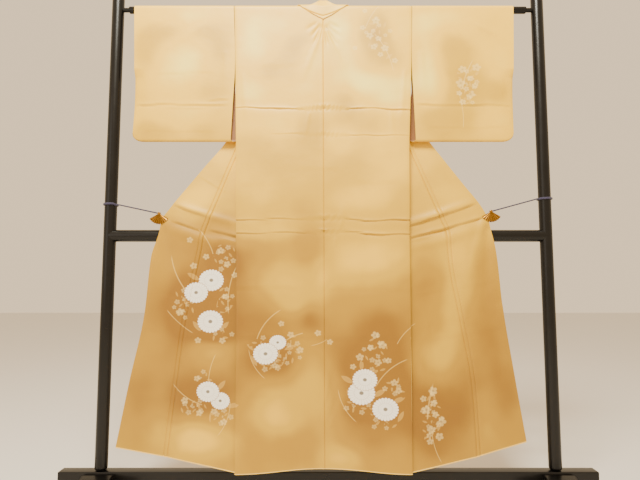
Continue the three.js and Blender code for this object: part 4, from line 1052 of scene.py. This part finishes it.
def collar_rows(base, crease, outside, stand, lean):
    """Rows of points from where the band is sewn on, to its crease and up its stand"""
    across = crease - base
    across /= np.linalg.norm(across, axis=1, keepdims=True)
    lean = np.radians(lean)[:, None]
    up = across * np.cos(lean) - outside * np.sin(lean)
    band = base[:, None] + (crease - base)[:, None] * np.linspace(0, 1, 31)[None, :, None]
    upstand = crease[:, None] + up[:, None] * (stand[:, None] * np.linspace(0, 1, 7)[None, 1:])[..., None]
    return np.concatenate([band, upstand], axis=1)


def front_collar(side):
    """The collar down one front edge"""
    z = np.arange(ROD_Z, COLLAR_END_Z - 1, -5.5)
    edges = front_rows(side, z)[1][:, -1]
    along = np.gradient(edges, axis=0)
    along[:, 1] = 0
    along /= np.linalg.norm(along, axis=1, keepdims=True)
    slant = np.minimum(1, (ROD_Z - z) / 110)[:, None]
    flat = np.array([[side["inward"], 0, 0]])
    square = np.stack([side["inward"] * np.abs(along[:, 2]), 0 * z, -np.abs(along[:, 0])], axis=1)
    way = mix(flat, square, slant)
    way /= np.linalg.norm(way, axis=1, keepdims=True)
    base = edges + [0, COLLAR_OFFSET, 0]
    outside = np.repeat([[0.0, 1.0, 0.0]], len(z), axis=0)
    return collar_rows(base, base + way * COLLAR_WIDTH, outside, np.full(len(z), STAND_FOOT), 0 * z)


def shoulder_collar(side):
    """The collar over the rod"""
    turn = np.linspace(0, math.pi / 2, 9)[1:-1]
    seam_x = front_rows(side, np.array([ROD_Z]))[0][0, -1, 0]
    outside = np.stack([0 * turn, np.sin(turn), np.cos(turn)], axis=1)
    base = np.array([seam_x, 0, ROD_Z]) + outside * (DRAPE_RADIUS + COLLAR_OFFSET)
    width = mix(SHOULDER_BAND, COLLAR_WIDTH, turn / (math.pi / 2))
    crease = base + np.stack([side["inward"] * width, 0 * turn, 0 * turn], axis=1)
    return collar_rows(base, crease, outside, np.full(len(turn), STAND_FOOT), 0 * turn)


def neck_collar(side):
    """The collar from the rod to the middle of the neck, where it stands up"""
    drop = NECK_DROP * np.linspace(1, 0, 26) ** 1.5
    across = NECK_HALF_WIDTH / BODY_HALF * (1 - (drop / NECK_DROP) ** (1 / NECK_CURVE))
    seam = back_point(across * -side["inward"], drop)
    turn = np.minimum(drop / DRAPE_RADIUS, math.pi / 2)
    outside = np.stack([0 * turn, -np.sin(turn), np.cos(turn)], axis=1)
    share = drop / NECK_DROP
    crease_turn = np.radians(CREASE_TURN * np.sqrt(share))
    radius = DRAPE_RADIUS + COLLAR_OFFSET
    crease_x = seam[:, 0] + side["inward"] * SHOULDER_BAND * (1 - share)
    crease = np.stack([crease_x, -radius * np.sin(crease_turn), ROD_Z + radius * np.cos(crease_turn)], axis=1)
    rise = np.clip((share - 0.35) / 0.5, 0, 1)
    stand = STAND_FOOT + STAND_HEIGHT * rise
    return collar_rows(seam + outside * COLLAR_OFFSET, crease, outside, stand, STAND_LEAN * rise)


# %% Make the collar
# The band's pressed fold is a groove that is lowest behind the middle of the neck
NECK_MIDDLE_X = -16
COLLAR_FOLD_Z = 1602
COLLAR_FOLD = (2.6, 1.8)
halves = [np.concatenate([front_collar(side)[::-1], shoulder_collar(side)[::-1], neck_collar(side)[::-1]])
          for side in (LEFT, RIGHT)]
collar_grid = np.concatenate([halves[0], halves[1][::-1][1:]])
from_middle = np.abs(collar_grid[..., 0] - NECK_MIDDLE_X)
folded_at = COLLAR_FOLD_Z + 40 * (from_middle / 88) ** 1.3
behind_neck = (collar_grid[..., 1] < 0) & (from_middle < NECK_HALF_WIDTH + 2)
collar_grid = displaced(collar_grid, -1, trough(collar_grid[..., 2] - folded_at, *COLLAR_FOLD) * behind_neck)
collar = add_cloth("collar_band", [wall(collar_grid, -1, COLLAR_WALL)], "collar")

# %% [markdown]
# ## Sleeves
# Each sleeve is a bag folded over the rod. It is open beside the body below the shoulder seam, open at the
# wrist, and sewn shut below the wrist with a rounded corner.

# %% Sleeve tables
SLEEVE_COLUMNS = ("z", "inner", "outer", "hang", "half")
SLEEVES = {
    "left": table(
        SLEEVE_COLUMNS, (1155, -327, -660, -17, 5), (1300, -321, -656, -12, 10),
        (1420, -316.4, -660, -7, 12.5), (ROD_Z, -324.6, -669, 0, DRAPE_RADIUS)),
    "right": table(
        SLEEVE_COLUMNS, (1155, 296, 626, -17, 5), (1300, 291, 628, -12, 10),
        (1420, 287.4, 634, -7, 12.5), (ROD_Z, 292.4, 643, 0, DRAPE_RADIUS))}
SLEEVE_BOTTOM_Z = 1158.0
SLEEVE_CORNER = 38.0
WRIST_BOTTOM_Z = 1412.0
SLEEVE_PINCH = 40.0
SLEEVE_CURL = 5.0
SLEEVE_LEVELS = 118
# Below the shoulder seam the far leaf's edge reaches a little way behind the body
FAR_REACH = 18.0
FAR_FROM, FAR_FULL = 1350.0, 1270.0


def sleeve_half(rows, share, z):
    """Half the opening between the two leaves, which closes at the outer seam below the wrist"""
    width = np.abs(follow(rows, z, "outer") - follow(rows, z, "inner"))
    closing = np.minimum(1, (1 - share) * width / SLEEVE_PINCH)
    below = np.clip((WRIST_BOTTOM_Z - z) / 30, 0, 1)
    opened = follow(rows, z, "half")
    return mix(opened, np.maximum(1.0, opened * np.sqrt(closing)), below)


def sleeve_ring(rows, share):
    """One ring of the bag: over the rod, down the far leaf, round the bottom fold and up the near leaf"""
    width = float(np.abs(follow(rows, SLEEVE_BOTTOM_Z, "outer") - follow(rows, SLEEVE_BOTTOM_Z, "inner")))
    into = max(0, SLEEVE_CORNER - (1 - share) * width)
    bottom = SLEEVE_BOTTOM_Z + 0.8 * (SLEEVE_CORNER - math.sqrt(SLEEVE_CORNER ** 2 - into ** 2))
    curl = min(SLEEVE_CURL, float(sleeve_half(rows, share, np.array(bottom + 4))))
    levels = np.linspace(ROD_Z, bottom + curl + 2, SLEEVE_LEVELS)[1:]
    fold = np.linspace(0, math.pi, 9)[1:-1]
    over = np.linspace(0, math.pi, 17)
    rounded = bottom + curl * (1 - np.sin(fold))
    z = np.concatenate([ROD_Z + DRAPE_RADIUS * np.sin(over), levels, rounded, levels[::-1]])
    hang = follow(rows, np.minimum(z, ROD_Z), "hang")
    half = sleeve_half(rows, share, levels)
    aside = np.concatenate([-DRAPE_RADIUS * np.cos(over), half, curl * np.cos(fold), -half[::-1]])
    low = np.minimum(z, ROD_Z)
    far = np.concatenate([0 * over, 1 + 0 * levels, 1 - fold / math.pi, 0 * levels])
    reach = far * FAR_REACH * (1 - soft(low, FAR_FULL, FAR_FROM))
    inner = follow(rows, low, "inner")
    x = mix(inner - np.sign(inner) * reach, follow(rows, low, "outer"), share)
    return np.stack([x, hang + aside, z], axis=1)


# %% Make the sleeves
for edge, rows in SLEEVES.items():
    # From the inner edge at 0 to the wrist at 1, with closer rings where the bag narrows
    shares = np.concatenate([np.linspace(0, 0.9, 40), np.linspace(0.915, 1, 10)])
    grid = np.stack([sleeve_ring(rows, share) for share in shares])
    outside = 1 if edge == "left" else -1
    normal = grid_normals(grid, ring=True) * outside
    near = np.where(normal[..., 1] < 0, 1.0, -1.0)
    below_rod = soft(ROD_Z - grid[..., 2], 20, 90) * soft(grid[..., 2] - SLEEVE_BOTTOM_Z, 6, 40)
    relief = crease_relief(grid, SLEEVE_CREASES) + pull_relief(grid, SLEEVE_PULLS) + sway(grid, 2.3)
    grid = grid + normal * (near * below_rod * relief)[..., None]
    sleeve = add_cloth(f"sleeve_{edge}_silk", [wall(grid, outside, ring=True)], f"sleeve_{edge}")

# %% [markdown]
# ## Black lacquer stand
# The stand is turned and planed wood under black lacquer: two round posts with a domed top, a round rod, a
# round rail, and a square beam let into two feet with rounded ends. Bevelled edges catch the light.

# %% Lacquer
lacquer_material, tree, shader = new_material(
    "lacquer", Roughness=0.3, Specular_IOR_Level=0.3, Coat_Weight=0.06)
lacquer_material.diffuse_color = colour(12, 11, 12)
cloudy = noise(tree, 18.0, 3.0)
mottle(tree, shader, cloudy, (6, 5, 5), (13, 11, 10))
tree.links.new(calc(tree, "MULTIPLY_ADD", cloudy, 0.12, 0.24), shader.inputs["Roughness"])
roughen(tree, shader, noise(tree, 60.0), 0.08, 0.0006)

# %% Stand sizes
POST_TOP_Z = 1690.0
POST_DOME = 10.0
ROD_RADIUS = 12.0
ROD_NECK_RADIUS = 7.5
ROD_SHOULDER_X = 690.0
RAIL_Z = 841.0
RAIL_RADIUS = 20.0
BEAM_LENGTH, BEAM_DEPTH, BEAM_EDGE = 1720.0, 40.0, 3.0
BEAM_BOTTOM, BEAM_TOP = 26.0, 86.0
FOOT_WIDTH, FOOT_LENGTH, FOOT_HEIGHT = 95.0, 360.0, 79.0
FOOT_CROWN, FOOT_END, FOOT_ROUND = 32.0, 24.0, 12.0


# %% Helpers for hard pieces
def finish_hard(name, bevel, segments, *nodes):
    """Bevel the active piece, bake its place into its mesh and let it stand for its nodes"""
    piece = bpy.context.object
    piece.name = piece.data.name = name
    bpy.ops.object.transform_apply(location=True, rotation=True, scale=True)
    if bevel:
        modifier = piece.modifiers.new("bevel", "BEVEL")
        modifier.width = bevel * MM
        modifier.segments = segments
        modifier.limit_method = "ANGLE"
        modifier.angle_limit = math.radians(40)
        bpy.ops.object.modifier_apply(modifier=modifier.name)
    bpy.ops.object.shade_smooth_by_angle(angle=math.radians(35))
    piece.data.materials.clear()
    piece.data.materials.append(lacquer_material)
    if nodes:
        stands_for(piece, *nodes)
    return piece


def cylinder(radius, start, end, sides=64):
    """A cylinder between two points on a line along X, Y or Z, in millimetres"""
    start, end = np.array(start, float) * MM, np.array(end, float) * MM
    turns = ((0, math.pi / 2, 0), (math.pi / 2, 0, 0), (0, 0, 0))
    bpy.ops.mesh.primitive_cylinder_add(
        vertices=sides, radius=radius * MM, depth=np.linalg.norm(end - start), location=(start + end) / 2,
        rotation=turns[np.argmax(np.abs(end - start))])


def block(low, high):
    """A block from its lowest to its highest corner, in millimetres"""
    low, high = np.array(low, float) * MM, np.array(high, float) * MM
    bpy.ops.mesh.primitive_cube_add(size=1, location=(low + high) / 2)
    bpy.context.object.scale = high - low


# %% Make the posts, rail and rod
for edge, x in (("left", -POST_X), ("right", POST_X)):
    cylinder(POST_RADIUS, (x, 0, BEAM_TOP), (x, 0, POST_TOP_Z))
    finish_hard(f"post_{edge}_lacquer", POST_DOME - 0.5, 8, f"post_{edge}")
cylinder(RAIL_RADIUS, (-POST_X, 0, RAIL_Z), (POST_X, 0, RAIL_Z))
finish_hard("rail_lacquer", 0, 0, "middle_rail")
cylinder(ROD_NECK_RADIUS, (-POST_X + 6, 0, ROD_Z), (POST_X - 6, 0, ROD_Z), 40)
neck = finish_hard("rod_neck", 0, 0)
cylinder(ROD_RADIUS, (-ROD_SHOULDER_X, 0, ROD_Z), (ROD_SHOULDER_X, 0, ROD_Z))
rod = finish_hard("rod_lacquer", 2.5, 4, "hanging_rod")
neck.select_set(True)
bpy.context.view_layer.objects.active = rod
bpy.ops.object.join()
print("posts, rail and rod made")

# %% Make the beam and the feet
block((-BEAM_LENGTH / 2, -BEAM_DEPTH / 2, BEAM_BOTTOM), (BEAM_LENGTH / 2, BEAM_DEPTH / 2, BEAM_TOP))
finish_hard("beam_lacquer", BEAM_EDGE, 4, "base_beam")
for edge, x in (("left", -POST_X), ("right", POST_X)):
    block((x - FOOT_WIDTH / 2, -FOOT_LENGTH / 2, 0), (x + FOOT_WIDTH / 2, FOOT_LENGTH / 2, FOOT_END))
    bpy.ops.object.transform_apply(location=True, rotation=True, scale=True)
    foot = bpy.context.object
    # The top is raised and shrunk along the foot, so that the foot slopes down to both ends
    for face in foot.data.polygons:
        face.select = face.normal.z > 0.9
    for line in foot.data.edges:
        line.select = False
    for corner in foot.data.vertices:
        corner.select = corner.co.z > FOOT_END * MM / 2
    bpy.ops.object.mode_set(mode="EDIT")
    bpy.context.tool_settings.mesh_select_mode = (False, False, True)
    raise_by = (FOOT_HEIGHT - FOOT_END) * MM
    bpy.ops.mesh.extrude_region_move(TRANSFORM_OT_translate={"value": (0, 0, raise_by)})
    share = 2 * FOOT_CROWN / (FOOT_LENGTH - 2 * FOOT_ROUND)
    bpy.ops.transform.resize(value=(1, share, 1))
    bpy.ops.object.mode_set(mode="OBJECT")
    finish_hard(f"foot_{edge}_lacquer", 4.0, 5, f"foot_{edge}")

# %% [markdown]
# ## Fan clips
# Each clip is a small brass fan with pleats and darker ribs, on a spring barrel, with a plain jaw behind the
# cloth. The cord is tied to its barrel.

# %% Brass
brass_material, tree, shader = new_material("brass", Metallic=1.0, Roughness=0.24)
brass_material.diffuse_color = colour(196, 150, 62)
worn = noise(tree, 160.0, 3.0)
mottle(tree, shader, worn, (190, 138, 48), (142, 96, 28))
tree.links.new(calc(tree, "MULTIPLY_ADD", worn, 0.2, 0.18), shader.inputs["Roughness"])
rib_material, tree, shader = new_material("brass_ribs", Metallic=0.8, Roughness=0.4)
rib_material.diffuse_color = colour(60, 40, 20)
mottle(tree, shader, noise(tree, 300.0), (40, 24, 12), (70, 44, 18))

# %% Fan sizes
FAN_RADIUS, FAN_HALF_ANGLE, FAN_PLATE = 36.0, 60.0, 1.4
FAN_PLEATS, FAN_PLEAT, FAN_PARTS = 9, 0.9, 6
FAN_RINGS = (4.0, 12.0, 20.0, 28.0, FAN_RADIUS - 2, FAN_RADIUS)
FAN_SCALLOP = 0.8
RIB_SHARE = 0.2
CLIP_GRIP = 2.05
BARREL_PROUD = 1.5


# %% Make the fans
def fan_plate(clip_x, clip_z, y, depth):
    """A fan of pleats that spreads downwards from its pivot"""
    share = np.linspace(0, 1, 2 * FAN_PLEATS * FAN_PARTS + 1)
    radius = np.array(FAN_RINGS)[:, None]
    pleat = share * 2 * FAN_PLEATS
    zigzag = 4 * np.abs(np.mod(pleat / 2, 1) - 0.5) - 1
    angle = np.radians(mix(-FAN_HALF_ANGLE, FAN_HALF_ANGLE, share))[None, :]
    reach = radius - np.where(radius == FAN_RADIUS, FAN_SCALLOP * (1 + zigzag), 0)
    lift = -depth * zigzag * radius / FAN_RADIUS
    grid = np.stack([clip_x + reach * np.sin(angle), y + lift, clip_z - reach * np.cos(angle)], axis=-1)
    points, faces, _ = wall(grid, 1, FAN_PLATE)
    middle = pleat[:-1] + 0.5 / FAN_PARTS
    rib = np.tile(np.abs(middle - np.round(middle)) < RIB_SHARE, len(radius) - 1)
    kinds = np.zeros(len(faces), int)
    kinds[:2 * len(rib)] = np.tile(rib, 2)
    return points, faces, kinds


def add_clip(edge):
    """The fan in front of the cloth, the jaw behind it and the barrel between them"""
    clip_x, clip_z = CLIP_PLACE[edge]
    front = CLIP_CLOTH_Y - CLIP_GRIP - FAN_PLEAT - FAN_PLATE / 2
    rear = CLIP_CLOTH_Y + CLIP_GRIP + FAN_PLATE / 2
    fan = fan_plate(clip_x, clip_z, front, FAN_PLEAT)
    jaw = fan_plate(clip_x, clip_z, rear, 0.0)
    points, faces, kinds = several([fan, jaw])
    fans = new_piece(f"fan_{edge}", points, faces.tolist(), [brass_material, rib_material], kinds, sharp=20)
    stands_for(fans, f"clip_{edge}")
    ends = [(clip_x, y, clip_z) for y in (front - BARREL_PROUD, rear + BARREL_PROUD)]
    cylinder(CLIP_BARREL, *ends, 40)
    barrel = finish_hard(f"barrel_{edge}", 1.2, 4)
    barrel.data.materials[0] = brass_material
    stands_for(barrel, f"clip_{edge}")
    print("clip", edge, "at", clip_x, clip_z)


for edge in ("left", "right"):
    add_clip(edge)

# %% [markdown]
# ## Floor and light
# A plain pale floor, one large soft light high in front, a weaker one from the left and a warm pale sky.

# %% Floor
bpy.ops.mesh.primitive_plane_add(size=14, location=(0, 2, 0))
floor = bpy.context.object
floor.name = "floor"
floor_material, tree, shader = new_material("floor", Roughness=0.7)
shader.inputs["Base Color"].default_value = colour(226, 222, 216)
floor.data.materials.append(floor_material)
floor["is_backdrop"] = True


# %% Lights
def area_light(name, place, target, size, power, warmth):
    light = bpy.data.lights.new(name, "AREA")
    light.size = size
    light.energy = power
    light.color = warmth
    lamp = bpy.data.objects.new(name, light)
    lamp.location = place
    way = np.array(target) - np.array(place)
    lamp.rotation_euler = (math.atan2(math.hypot(way[0], way[1]), -way[2]), 0, math.atan2(-way[0], way[1]))
    bpy.context.scene.collection.objects.link(lamp)


area_light("key", (-0.35, -1.6, 3.35), (0, 0, 1.1), 0.9, 195, (1.0, 0.96, 0.82))
area_light("fill", (-2.4, -2.6, 1.5), (0, 0, 0.8), 2.0, 15, (1.0, 0.97, 0.92))
world = bpy.data.worlds.new("world")
world.use_nodes = True
world.node_tree.nodes["Background"].inputs["Color"].default_value = colour(255, 226, 184)
world.node_tree.nodes["Background"].inputs["Strength"].default_value = 1.25
bpy.context.scene.world = world

# %% Print both boxes and finish
boxes = {"cad": cad_box, "visual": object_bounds()}
plain = {name: [[float(value) for value in corner] for corner in box] for name, box in boxes.items()}
print(plain)
